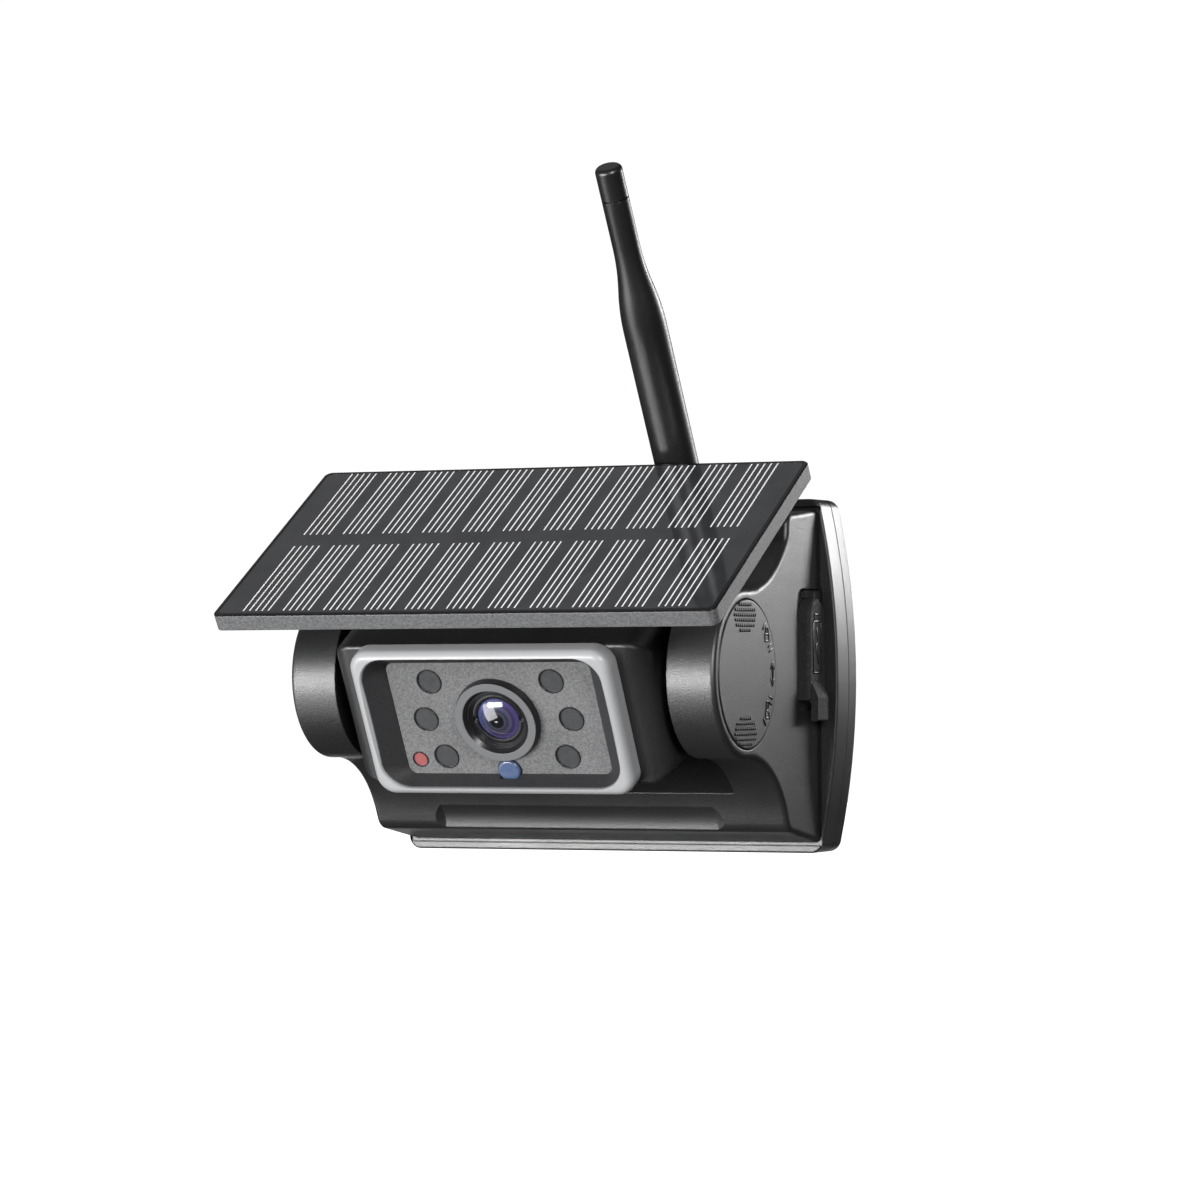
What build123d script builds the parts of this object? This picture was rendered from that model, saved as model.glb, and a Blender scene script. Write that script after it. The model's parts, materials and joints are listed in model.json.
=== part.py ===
from build123d import *
from math import cos, radians, sin
import os

# Wireless camera with a solar panel, held on metal by a magnetic back.
# Millimetres. The origin is the centre of the magnetic rear face, the camera looks
# along -Y, +X is its right-hand end in a front view, and +Z is up.

# ---------------------------------------------------------------- rear plate
plate_height = 82.7
plate_half_width = 53.3          # at the corners
plate_bulge = 4.6                # how far the sides bow out at mid height
plate_corner_radius = 3.0
plate_depth = 14.3
plate_wall = 2.2
lip_height = 0.8                 # raised edge round the front of the plate
lip_gap = 0.6                    # groove between the lip and the body
seam_gap = 0.4
seam_depth = 7.0                 # the rear cover's share of the plate depth
rear_edge_radius = 2.6
pad_thickness = 0.8
pad_proud = 0.3
pad_inset = 4.0

# ---------------------------------------------------------------- battery cells
cell_radius = 9.15
cell_length = 65.0
cell_y = -6.15 - cell_radius     # just in front of the magnets
cell_offset_z = 33.15 - cell_radius
cradle_wall = 0.9
cell_fit = 0.15
terminal_radius = 3.0

# ---------------------------------------------------------------- housing body
tilt_axis_y = -39.3 - 2 * cell_radius   # tilt axis in front of the magnetic face
tilt_axis_z = 0.55
body_half_width = 53.0
barrel_radius = 19.0
cheek_edge_radius = 1.2
wall = 2.0
arm_inner_x = 41.4               # inner faces of the two arms that carry the head
arm_wall = 2.5
cup_radius = barrel_radius - 1.9
recess_radius = 33.8             # round recess behind the camera head
shelf_front_y = 25.2             # the next eight are measured from the tilt axis
shelf_front_z = 36.6
shelf_rear_z = 38.4
top_scoop_y = 24.6
top_scoop_z = 31.2
chin_scoop_y = 23.4
chin_scoop_z = -33.0
chin_corner_y = 25.0
chin_corner_z = -36.2
chin_rear_z = -39.6
shelf_edge_radius = 3.2
chin_edge_radius = 4.0
scoop_blend_radius = 4.0
chin_pocket_half_length = 40.0
chin_pocket_radius = 7.0
chin_pocket_depth = 1.5
chamber_front_y = 27.0           # from the tilt axis
chamber_half_height = 34.5
chamber_radius = 6.0
seat_z = 36.9                    # flat seats sunk into the shelf
bracket_seat_y = 35.0            # centres of the seats and screws, from the tilt axis
bracket_screw_y = 38.5
bracket_screw_x = 6.0
antenna_seat_y = 33.0
antenna_cable_y = 36.0
wire_space = (24.0, 1.0, 8.0, 30.0)   # centre, width and height of the wire space in each arm

# ---------------------------------------------------------------- inside the housing
screw_radius = 1.3
screw_head_radius = 2.5
screw_fit = 0.03
screw_x = 47.5
screw_z = 34.0
boss_radius = 3.3
magnet_radius = 9.0
magnet_thickness = 3.5
magnet_x = 35.5
magnet_z = 25.0
magnet_fit = 0.1
board_half_length = 49.5
board_half_height = cell_offset_z - cell_radius - 1.85
board_thickness = 1.6
board_rear_y = -14.8
board_post_x = 36.0
board_post_z = board_half_height - 4.0
board_post_radius = 2.4
usb_width = 9.0
usb_thickness = 3.2
usb_length = 7.3
usb_z = 6.0

# ---------------------------------------------------------------- charging port cover
port_recess_y = (-27.2, -14.3)
port_recess_z = (-8.1, 20.2)
port_recess_depth = 1.2
flap_y = (-24.5, -14.6)
flap_z = (-5.6, 18.0)
flap_outer_x = 55.0
flap_gap = 0.15
tab_drop = 4.8
tab_width = 6.4
tab_kick = 1.5                   # how far the pull tab stands out from the flap
tab_thickness = 1.7

# ---------------------------------------------------------------- camera head
head_tilt = 27.6                 # degrees below level
head_half_width = 39.0
head_rear_radius = 19.8
head_top = 18.6
head_bottom = -16.6
head_end_radius = 5.0
face_plane = 21.1                # front of the face plate, from the tilt axis
face_thickness = 1.6
face_top = 14.35
face_bottom = -14.1
face_ledge = 1.8                 # how far the face plate runs under the bezel
bezel_half_width = head_half_width - 6.7
bezel_top = 19.1
bezel_bottom = -17.3
bezel_corner_radius = 4.6
bezel_depth = 4.9
bezel_edge_radius = 1.9
bezel_screw_radius = 0.9
mouth_half_width = bezel_half_width - 2.7
mouth_top = 17.7
mouth_bottom = -15.6
mouth_bulge = 0.8
mouth_radius = 6.5
head_wall = 2.0
front_wall = 4.1
face_half_width = mouth_half_width - 4.2
window_radius = 2.8
window_gap = 0.08
corner_window = (face_half_width - 10.2, 9.6)
middle_window_x = face_half_width - 7.25
status_site = (3.4 - face_half_width, -10.4)
status_radius = 1.7
sensor_site = (0, -13.1)
sensor_radius = 2.7
lens_ring_radius = 10.3
lens_ring_front_radius = 9.8
lens_ring_rise = 1.9
lens_mouth_radius = 8.1
lens_glass_radius = 5.55
lens_barrel_radius = 6.0
bush_radius = barrel_radius - 10.0
trunnion_radius = bush_radius - 2.05
trunnion_bore = trunnion_radius - 2.45
running_gap = 0.05

# ---------------------------------------------------------------- twist cover
cover_radius = cup_radius - 0.3
cover_face_x = 53.2
cover_thickness = 1.6
cap_edge = 0.25                  # chamfer round both end caps
skirt_radius = cup_radius - 1.6
skirt_wall = 1.8
skirt_depth = 3.0
lug_rise = 1.0
lug_width = 1.1
button_radius = 1.9
button_travel = 0.4
button_angle = 35.0
button_circle = cup_radius - 3.9
service_plate_x = 46.9
service_plate_thickness = 0.9

# ---------------------------------------------------------------- solar panel
panel_width = 123.9
panel_depth = 66.3
panel_thickness = 4.0
panel_tilt = 31.5
panel_front_y = -40.14           # front edge of the top face, from the tilt axis
panel_front_z = 13.93
panel_corner_radius = 2.0
panel_rim = 1.1
glass_thickness = 0.8
cell_sheet_thickness = 0.5
hinge_inset = 12.0               # hinge pin from the panel's rear edge
hinge_drop = 7.0                 # hinge pin below the panel's top face
knuckle_radius = 2.6
hinge_pin_radius = 1.25
bracket_arm_x = 12.0
bracket_arm_width = 4.0
bracket_foot = 1.8
knuckle_gap = 0.3

# ---------------------------------------------------------------- antenna
antenna_x = 25.0
antenna_lean = 30.3
antenna_pivot_y = 29.7           # from the tilt axis
antenna_pivot_z = 42.0
antenna_radius = 5.1
antenna_tip_radius = 3.15
antenna_flare = (43.0, 64.0)
antenna_length = 83.8
antenna_cap = 7.6
antenna_start = 5.2
tongue_thickness = 6.0
tongue_radius = 3.2
fork_radius = 4.4
fork_wall = 2.5
antenna_pin_radius = 1.5

os.makedirs("parts", exist_ok=True)

# ---------------------------------------------------------------- planes and axes
tilt_point = Vector(0, tilt_axis_y, tilt_axis_z)
side_plane = Plane(origin=tilt_point, x_dir=(0, 1, 0), z_dir=(1, 0, 0))
look = Vector(0, -cos(radians(head_tilt)), -sin(radians(head_tilt)))
head_up = Vector(0, -sin(radians(head_tilt)), cos(radians(head_tilt)))
face_at = Plane(origin=tilt_point, x_dir=(1, 0, 0), z_dir=look)
head_side = Plane(origin=tilt_point, x_dir=look, z_dir=(-1, 0, 0))
lens_section = Plane(origin=tilt_point, x_dir=(1, 0, 0), z_dir=-head_up)
lens_axis = Axis(tilt_point, look)

panel_slope = Vector(0, cos(radians(panel_tilt)), sin(radians(panel_tilt)))
panel_normal = Vector(0, -sin(radians(panel_tilt)), cos(radians(panel_tilt)))
panel_front = tilt_point + Vector(0, panel_front_y, panel_front_z)
panel_top = Plane(origin=panel_front + panel_slope * (panel_depth / 2), x_dir=(1, 0, 0), z_dir=panel_normal)
panel_hinge = panel_front + panel_slope * (panel_depth - hinge_inset) - panel_normal * hinge_drop
hinge_side = Plane(origin=panel_hinge, x_dir=(0, 1, 0), z_dir=(1, 0, 0))

antenna_pivot = tilt_point + Vector(antenna_x, antenna_pivot_y, antenna_pivot_z)
antenna_line = Vector(0, -sin(radians(antenna_lean)), cos(radians(antenna_lean)))
antenna_section = Plane(origin=antenna_pivot, x_dir=(1, 0, 0), z_dir=Vector(1, 0, 0).cross(antenna_line))
antenna_axis = Axis(antenna_pivot, antenna_line)
antenna_side = Plane(origin=antenna_pivot, x_dir=(0, 1, 0), z_dir=(1, 0, 0))

plate_front_y = -plate_depth
plate_face_y = plate_front_y + lip_height
front_seam_y = -seam_depth - seam_gap
cover_rear_y = -pad_proud
cover_floor_y = -pad_thickness - 1.2
shelf_rear_y = -plate_depth - tilt_axis_y
shelf_z = seat_z + tilt_axis_z
cup_floor_x = arm_inner_x + arm_wall
board_front_y = board_rear_y - board_thickness
magnet_sites = [(x, z) for x in (-magnet_x, magnet_x) for z in (-magnet_z, magnet_z)]
screw_sites = [(x, z) for x in (-screw_x, screw_x) for z in (-screw_z, screw_z)]
board_post_heights = (tilt_axis_z - board_post_z, tilt_axis_z + board_post_z)
board_posts = [(x, z) for x in (-board_post_x, board_post_x) for z in board_post_heights]
corner_x, corner_v = corner_window
window_sites = [(x, v) for x in (-corner_x, corner_x) for v in (-corner_v, corner_v)]
window_sites += [(-middle_window_x, 0), (middle_window_x, 0)]
bezel_screw_sites = [(x, v) for x in (2.5 - bezel_half_width, bezel_half_width - 2.5) for v in (-9.0, 11.0)]
bracket_screw_sites = [(x, tilt_axis_y + bracket_screw_y) for x in (-bracket_screw_x, bracket_screw_x)]


def across(y: float) -> Plane:
    """A plane facing forward (-Y) at this depth, with its own x to +X and its own y to +Z."""
    return Plane(origin=(0, y, 0), x_dir=(1, 0, 0), z_dir=(0, -1, 0))


def end_on(x: float) -> Plane:
    """A plane facing +X at this width, centred on the tilt axis."""
    return side_plane.offset(x)


def plate_outline(inset: float) -> Sketch:
    """Front outline of the rear plate, drawn in from its edge by inset."""
    half_width = plate_half_width - inset
    half_height = plate_height / 2 - inset
    with BuildSketch() as outline:
        with BuildLine():
            bowed = half_width + plate_bulge
            ThreePointArc((half_width, -half_height), (bowed, 0), (half_width, half_height))
            Line((half_width, half_height), (-half_width, half_height))
            ThreePointArc((-half_width, half_height), (-bowed, 0), (-half_width, -half_height))
            Line((-half_width, -half_height), (half_width, -half_height))
        make_face()
        fillet(outline.vertices(), max(plate_corner_radius - inset / 2, 1.0))
    return outline.sketch


def mouth_outline() -> Sketch:
    """Opening in the front of the bezel, with sides that bow out a little."""
    with BuildSketch() as outline:
        with BuildLine():
            middle = (mouth_top + mouth_bottom) / 2
            side = mouth_half_width + mouth_bulge
            ThreePointArc((mouth_half_width, mouth_bottom), (side, middle), (mouth_half_width, mouth_top))
            Line((mouth_half_width, mouth_top), (-mouth_half_width, mouth_top))
            ThreePointArc((-mouth_half_width, mouth_top), (-side, middle), (-mouth_half_width, mouth_bottom))
            Line((-mouth_half_width, mouth_bottom), (mouth_half_width, mouth_bottom))
        make_face()
        fillet(outline.vertices(), mouth_radius)
    return outline.sketch


def tall_box(half_width: float, low: float, high: float, radius: float) -> Sketch:
    """Rounded rectangle, symmetric in x, from low to high in y."""
    with BuildSketch() as outline:
        with Locations((0, (low + high) / 2)):
            RectangleRounded(2 * half_width, high - low, radius)
    return outline.sketch


# ================================================================ HOUSING
body_corners = [
    ((shelf_front_y, shelf_front_z), shelf_edge_radius),
    ((top_scoop_y, top_scoop_z), scoop_blend_radius),
    ((chin_scoop_y, chin_scoop_z), scoop_blend_radius),
    ((chin_corner_y, chin_corner_z), chin_edge_radius),
]
with BuildPart() as body_block:
    with BuildSketch(side_plane) as body_profile:
        with BuildLine():
            Line((shelf_rear_y + 2, shelf_rear_z), (shelf_front_y, shelf_front_z))
            Line((shelf_front_y, shelf_front_z), (top_scoop_y, top_scoop_z))
            TangentArc((1.0, barrel_radius), (top_scoop_y, top_scoop_z), tangent=(1, 0))
            Line((1.0, barrel_radius), (0, barrel_radius))
            ThreePointArc((0, barrel_radius), (-barrel_radius, 0), (0, -barrel_radius))
            Line((0, -barrel_radius), (1.5, -barrel_radius))
            TangentArc((1.5, -barrel_radius), (chin_scoop_y, chin_scoop_z), tangent=(1, 0))
            Line((chin_scoop_y, chin_scoop_z), (chin_corner_y, chin_corner_z))
            Line((chin_corner_y, chin_corner_z), (shelf_rear_y + 2, chin_rear_z))
            Line((shelf_rear_y + 2, chin_rear_z), (shelf_rear_y + 2, shelf_rear_z))
        make_face()
        for corner, radius in body_corners:
            fillet(body_profile.vertices().sort_by_distance(corner)[0], radius)
    extrude(amount=body_half_width, both=True)
    for end in (0, -1):
        end_edges = body_block.faces().sort_by(Axis.X)[end].edges()
        fillet([edge for edge in end_edges if edge.center().Y < -plate_depth + 1], cheek_edge_radius)

# space for the cells and the board, behind the round recess
with BuildPart() as chamber:
    with BuildSketch(side_plane) as chamber_profile:
        chamber_depth = front_seam_y - tilt_axis_y - chamber_front_y
        with Locations((chamber_front_y + chamber_depth / 2, 0)):
            Rectangle(chamber_depth, 2 * chamber_half_height)
        fillet(chamber_profile.vertices().group_by(Axis.X)[0], chamber_radius)
    extrude(amount=body_half_width - wall, both=True)
    with BuildSketch(side_plane):
        Circle(recess_radius + wall)
    extrude(amount=arm_inner_x + wall, both=True, mode=Mode.SUBTRACT)

# shallow finger pocket under the chin, with sloping ends
with BuildPart() as chin_pocket:
    with BuildSketch(side_plane):
        with Locations((chin_scoop_y + 0.6 - chin_pocket_radius + chin_pocket_depth, chin_scoop_z - 3.6)):
            Circle(chin_pocket_radius)
    extrude(amount=chin_pocket_half_length, both=True)
    chamfer(chin_pocket.edges().filter_by(GeomType.CIRCLE), chin_pocket_radius - 2, 2.5)

with BuildPart() as front_housing:
    with BuildSketch(across(front_seam_y)):
        add(plate_outline(0))
    extrude(amount=front_seam_y - plate_front_y)
    front_rim = front_housing.faces().sort_by(Axis.Y)[0].edges()
    chamfer(front_rim, 0.35)
    with BuildSketch(across(plate_face_y)):
        with Locations((0, (shelf_rear_z + chin_rear_z) / 2 + tilt_axis_z)):
            Rectangle(2 * (body_half_width + lip_gap), shelf_rear_z - chin_rear_z + 2 * lip_gap)
    extrude(amount=2 * lip_height, mode=Mode.SUBTRACT)
    add(body_block.part)
    # round recess for the camera head
    with BuildSketch(side_plane):
        Circle(recess_radius)
    extrude(amount=arm_inner_x, both=True, mode=Mode.SUBTRACT)
    add(chin_pocket.part, mode=Mode.SUBTRACT)
    # main chamber, open to the rear
    with BuildSketch(across(front_seam_y)):
        add(plate_outline(plate_wall))
    extrude(amount=front_seam_y - plate_face_y - wall, mode=Mode.SUBTRACT)
    add(chamber.part, mode=Mode.SUBTRACT)
    for side in (-1, 1):
        # barrel cup, open at the outer end
        with BuildSketch(end_on(side * body_half_width)):
            Circle(cup_radius)
        extrude(amount=-side * (body_half_width - cup_floor_x), mode=Mode.SUBTRACT)
        # wire space in the arm
        with BuildSketch(end_on(side * (body_half_width - wall))):
            with Locations(wire_space[:2]):
                Rectangle(*wire_space[2:])
        extrude(amount=-side * (body_half_width - 2 * wall - arm_inner_x), mode=Mode.SUBTRACT)
        # bore for the pivot bush
        with BuildSketch(end_on(side * cup_floor_x)):
            Circle(bush_radius)
        extrude(amount=-side * arm_wall, mode=Mode.SUBTRACT)
    # ledge that the twist cover's lugs turn under
    with BuildSketch(end_on(body_half_width - 2.3)):
        Circle(cup_radius)
        Circle(skirt_radius + 0.3, mode=Mode.SUBTRACT)
        with PolarLocations(0, 3, start_angle=45):
            with Locations((cup_radius - 0.7, 0)):
                Rectangle(3.0, 8.0, mode=Mode.SUBTRACT)
    extrude(amount=-0.8)
    # wire hole from the left cup
    wire_hole = (-body_half_width + 4, tilt_axis_y + cup_radius - 3.1, tilt_axis_z)
    with Locations(Plane(origin=wire_hole, z_dir=(0, 1, 0))):
        Cylinder(2.0, 12, align=(Align.CENTER, Align.CENTER, Align.MIN), mode=Mode.SUBTRACT)
    # screw bosses
    with BuildSketch(across(front_seam_y)):
        with Locations(*screw_sites):
            Circle(boss_radius)
    extrude(amount=front_seam_y - plate_face_y - wall)
    with BuildSketch(across(front_seam_y)):
        with Locations(*screw_sites):
            Circle(screw_radius + screw_fit)
    extrude(amount=front_seam_y - plate_face_y - wall + 0.8, mode=Mode.SUBTRACT)
    # posts for the main board
    with BuildSketch(across(board_front_y)):
        with Locations(*board_posts):
            Circle(board_post_radius)
    extrude(amount=board_front_y - tilt_axis_y - recess_radius - 0.6)
    # recess and opening for the charging port
    with BuildSketch(Plane.YZ.offset(body_half_width + 1)):
        with Locations((sum(port_recess_y) / 2 + 2, sum(port_recess_z) / 2)):
            port_recess_width = port_recess_y[1] - port_recess_y[0] + 4
            RectangleRounded(port_recess_width, port_recess_z[1] - port_recess_z[0], 3.2)
        with Locations((plate_face_y, sum(port_recess_z) / 2)):
            Rectangle(10, 60, align=(Align.MIN, Align.CENTER), mode=Mode.SUBTRACT)
    extrude(amount=-port_recess_depth - 1, mode=Mode.SUBTRACT)
    with BuildSketch(Plane.YZ.offset(body_half_width)):
        with Locations((board_front_y - usb_thickness / 2, usb_z)):
            RectangleRounded(usb_thickness + 0.4, usb_width + 0.4, 1.2)
    extrude(amount=-wall - 1, mode=Mode.SUBTRACT)
    # flat seats in the shelf for the panel bracket and the antenna base
    with BuildSketch(Plane.XY.offset(shelf_z)):
        with Locations((0, tilt_axis_y + bracket_seat_y)):
            Rectangle(2 * (bracket_arm_x + bracket_arm_width + 1), 16.4)
        with Locations((antenna_x, tilt_axis_y + antenna_seat_y)):
            Rectangle(13.4, 14.0)
    extrude(amount=4, mode=Mode.SUBTRACT)
    # screw holes in the bracket seat, cable hole in the antenna seat
    with Locations(*[(x, y, shelf_z) for x, y in bracket_screw_sites]):
        Cylinder(screw_radius + screw_fit, 10, mode=Mode.SUBTRACT)
    with Locations((antenna_x, tilt_axis_y + antenna_cable_y, shelf_z)):
        Cylinder(1.5, 10, mode=Mode.SUBTRACT)
front_housing.part.label = "front_housing"
export_step(front_housing.part, "parts/front_housing.step")

with BuildPart() as rear_cover:
    with BuildSketch(across(cover_rear_y)):
        add(plate_outline(0))
    extrude(amount=seam_depth - pad_proud)
    fillet(rear_cover.faces().sort_by(Axis.Y)[-1].edges(), rear_edge_radius)
    # pocket for the rubber pad
    with BuildSketch(across(cover_rear_y)):
        add(plate_outline(pad_inset))
    extrude(amount=pad_thickness - pad_proud, mode=Mode.SUBTRACT)
    # inside of the tray
    with BuildSketch(across(-seam_depth)):
        add(plate_outline(plate_wall))
    extrude(amount=-(seam_depth + cover_floor_y), mode=Mode.SUBTRACT)
    # cups for the magnets
    with BuildSketch(across(cover_floor_y)):
        with Locations(*magnet_sites):
            Circle(magnet_radius + magnet_fit + 1.2)
        with Locations(*magnet_sites):
            Circle(magnet_radius + magnet_fit, mode=Mode.SUBTRACT)
    extrude(amount=magnet_thickness - 0.5)
    # screw posts
    with BuildSketch(across(cover_floor_y)):
        with Locations(*screw_sites):
            Circle(boss_radius)
    extrude(amount=seam_depth + cover_floor_y)
    # groove for the seal
    with BuildSketch(across(-seam_depth)):
        add(plate_outline(0.7))
        add(plate_outline(1.7), mode=Mode.SUBTRACT)
    extrude(amount=-0.6, mode=Mode.SUBTRACT)
    # countersunk screw holes
    with Locations(*[Plane(origin=(x, -pad_thickness, z), z_dir=(0, 1, 0)) for x, z in screw_sites]):
        CounterSinkHole(screw_radius + 0.15, screw_head_radius + 0.1, 10, 90)
rear_cover.part.label = "rear_cover"
export_step(rear_cover.part, "parts/rear_cover.step")

with BuildPart() as seam_seal:
    with BuildSketch(across(-seam_depth + 0.6)):
        add(plate_outline(0.7))
        add(plate_outline(1.7), mode=Mode.SUBTRACT)
    extrude(amount=seam_gap + 0.6)
seam_seal.part.label = "seam_seal"
export_step(seam_seal.part, "parts/seam_seal.step")

with BuildPart() as rear_pad:
    with BuildSketch(across(0)):
        add(plate_outline(pad_inset + 0.1))
    extrude(amount=pad_thickness)
rear_pad.part.label = "rear_pad"
export_step(rear_pad.part, "parts/rear_pad.step")

with BuildPart() as base_magnets:
    with BuildSketch(across(cover_floor_y)):
        with Locations(*magnet_sites):
            Circle(magnet_radius)
    extrude(amount=magnet_thickness)
base_magnets.part.label = "base_magnets"
export_step(base_magnets.part, "parts/base_magnets.step")

with BuildPart() as cover_screws:
    for x, z in screw_sites:
        with BuildSketch(Plane(origin=(x, -pad_thickness, z), x_dir=(1, 0, 0), z_dir=(0, 0, 1))):
            with BuildLine():
                Polyline(
                    (0, 0), (screw_head_radius, 0), (screw_radius, screw_radius - screw_head_radius),
                    (screw_radius, -9.6), (0, -9.6), close=True,
                )
            make_face()
        revolve(axis=Axis((x, 0, z), (0, 1, 0)))
    with BuildSketch(across(-pad_thickness)):
        with Locations(*screw_sites):
            Rectangle(2.6, 0.6)
            Rectangle(0.6, 2.6)
    extrude(amount=0.7, mode=Mode.SUBTRACT)
cover_screws.part.label = "cover_screws"
export_step(cover_screws.part, "parts/cover_screws.step")

# ================================================================ POWER AND BOARD
cell_sites = {
    "lower": (cell_y, tilt_axis_z - cell_offset_z),
    "upper": (cell_y, tilt_axis_z + cell_offset_z),
}
for place, (y, z) in cell_sites.items():
    with BuildPart() as battery_cell:
        with BuildSketch(Plane.YZ.offset(-cell_length / 2)):
            with Locations((y, z)):
                Circle(cell_radius)
        extrude(amount=cell_length)
        with BuildSketch(Plane.YZ.offset(cell_length / 2)):
            with Locations((y, z)):
                Circle(terminal_radius)
        extrude(amount=0.6)
        rounds = battery_cell.edges().filter_by(GeomType.CIRCLE)
        fillet([edge for edge in rounds if edge.radius > terminal_radius], 0.6)
    battery_cell.part.label = f"{place}_battery_cell"
    export_step(battery_cell.part, f"parts/{place}_battery_cell.step")

cradle_radius = cell_radius + cell_fit + cradle_wall
with BuildPart() as battery_cradles:
    with BuildSketch(Plane.YZ.offset(-cell_length / 2 - 1.2)):
        for site in cell_sites.values():
            with Locations(site):
                Circle(cradle_radius)
                with Locations((cradle_radius / 2 + 1, 0)):
                    Rectangle(cradle_radius + 2, 2 * cradle_radius + 2, mode=Mode.SUBTRACT)
    extrude(amount=cell_length + 3.0)
    with BuildSketch(Plane.YZ.offset(-cell_length / 2 - 0.4)):
        with Locations(*cell_sites.values()):
            Circle(cell_radius + cell_fit)
    extrude(amount=cell_length + 1.4, mode=Mode.SUBTRACT)
battery_cradles.part.label = "battery_cradles"
export_step(battery_cradles.part, "parts/battery_cradles.step")

with BuildPart() as cell_contacts:
    for x, thickness in ((-cell_length / 2 - 0.35, 0.3), (cell_length / 2 + 0.65, 0.3)):
        with BuildSketch(Plane.YZ.offset(x)):
            with Locations(*cell_sites.values()):
                Circle(4.0)
                with Locations((3.0, 0)):
                    Rectangle(6.0, 4.0)
        extrude(amount=thickness)
cell_contacts.part.label = "cell_contacts"
export_step(cell_contacts.part, "parts/cell_contacts.step")

with BuildPart() as main_board:
    with BuildSketch(across(board_rear_y)):
        with Locations((0, tilt_axis_z)):
            RectangleRounded(2 * board_half_length, 2 * board_half_height, 1.0)
        with Locations(*board_posts):
            Circle(1.1, mode=Mode.SUBTRACT)
    extrude(amount=board_thickness)
main_board.part.label = "main_board"
export_step(main_board.part, "parts/main_board.step")

with BuildPart() as board_screws:
    with BuildSketch(across(board_rear_y + 1.2)):
        with Locations(*board_posts):
            Circle(2.0)
    extrude(amount=1.2)
    with BuildSketch(across(board_rear_y)):
        with Locations(*board_posts):
            Circle(1.0)
    extrude(amount=board_thickness)
board_screws.part.label = "board_screws"
export_step(board_screws.part, "parts/board_screws.step")

with BuildPart() as radio_shield:
    with BuildSketch(across(board_rear_y + 2.6)):
        with Locations((17.0, tilt_axis_z)):
            RectangleRounded(22, 18, 0.8)
    extrude(amount=2.6)
radio_shield.part.label = "radio_shield"
export_step(radio_shield.part, "parts/radio_shield.step")

with BuildPart() as board_chips:
    with BuildSketch(across(board_rear_y + 1.2)):
        with Locations((-14.0, tilt_axis_z)):
            Rectangle(12, 12)
        with Locations((-26.0, tilt_axis_z + 4)):
            Rectangle(6, 6)
        with Locations((-26.0, tilt_axis_z - 5)):
            Rectangle(7, 4)
    extrude(amount=1.2)
board_chips.part.label = "board_chips"
export_step(board_chips.part, "parts/board_chips.step")

usb_y = board_front_y - usb_thickness / 2
with BuildPart() as usb_socket:
    with BuildSketch(Plane.YZ.offset(body_half_width - port_recess_depth - 0.2)):
        with Locations((usb_y, usb_z)):
            RectangleRounded(usb_thickness - 0.02, usb_width, 1.2)
        with Locations((usb_y, usb_z)):
            RectangleRounded(usb_thickness - 0.6, usb_width - 0.6, 1.0, mode=Mode.SUBTRACT)
    extrude(amount=-usb_length)
    with BuildSketch(Plane.YZ.offset(body_half_width - port_recess_depth - 0.2 - usb_length)):
        with Locations((usb_y, usb_z)):
            RectangleRounded(usb_thickness - 0.02, usb_width, 1.2)
    extrude(amount=1.0)
    with BuildSketch(Plane.YZ.offset(body_half_width - port_recess_depth - 0.2 - usb_length)):
        with Locations((usb_y, usb_z)):
            Rectangle(0.7, usb_width - 2.2)
    extrude(amount=usb_length - 1.0)
usb_socket.part.label = "usb_socket"
export_step(usb_socket.part, "parts/usb_socket.step")

with BuildPart() as arm_cable:
    with BuildLine() as cable_path:
        start = Vector(-arm_inner_x + 0.8, tilt_axis_y, tilt_axis_z)
        bend = Vector(-body_half_width + 4, tilt_axis_y, tilt_axis_z)
        end = Vector(-body_half_width + 4, board_front_y - 4.0, tilt_axis_z)
        FilletPolyline(start, bend, end, radius=3.8)
    with BuildSketch(Plane(origin=start, z_dir=(-1, 0, 0))):
        Circle(1.0)
    sweep()
arm_cable.part.label = "arm_cable"
export_step(arm_cable.part, "parts/arm_cable.step")

with BuildPart() as cable_plug:
    with BuildSketch(across(board_front_y)):
        with Locations((-body_half_width + 4 + 1.0, tilt_axis_z)):
            Rectangle(5.0, 6.0)
    extrude(amount=4.0)
cable_plug.part.label = "cable_plug"
export_step(cable_plug.part, "parts/cable_plug.step")

# ================================================================ PIVOTS OF THE HEAD
washer_x = cup_floor_x + 1.0
flange_x = washer_x + 0.6
with BuildPart() as pivot_bushes:
    for side in (-1, 1):
        with BuildSketch(end_on(side * arm_inner_x)):
            Circle(bush_radius)
            Circle(trunnion_radius + running_gap, mode=Mode.SUBTRACT)
        extrude(amount=side * arm_wall)
        with BuildSketch(end_on(side * cup_floor_x)):
            Circle(bush_radius + 1.8)
            Circle(trunnion_radius + running_gap, mode=Mode.SUBTRACT)
        extrude(amount=side * 1.0)
pivot_bushes.part.label = "pivot_bushes"
export_step(pivot_bushes.part, "parts/pivot_bushes.step")

with BuildPart() as friction_washers:
    for side in (-1, 1):
        with BuildSketch(end_on(side * (washer_x + 0.05))):
            Circle(bush_radius + 0.6)
            Circle(trunnion_radius + 0.2, mode=Mode.SUBTRACT)
        extrude(amount=side * 0.5)
friction_washers.part.label = "friction_washers"
export_step(friction_washers.part, "parts/friction_washers.step")

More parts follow.
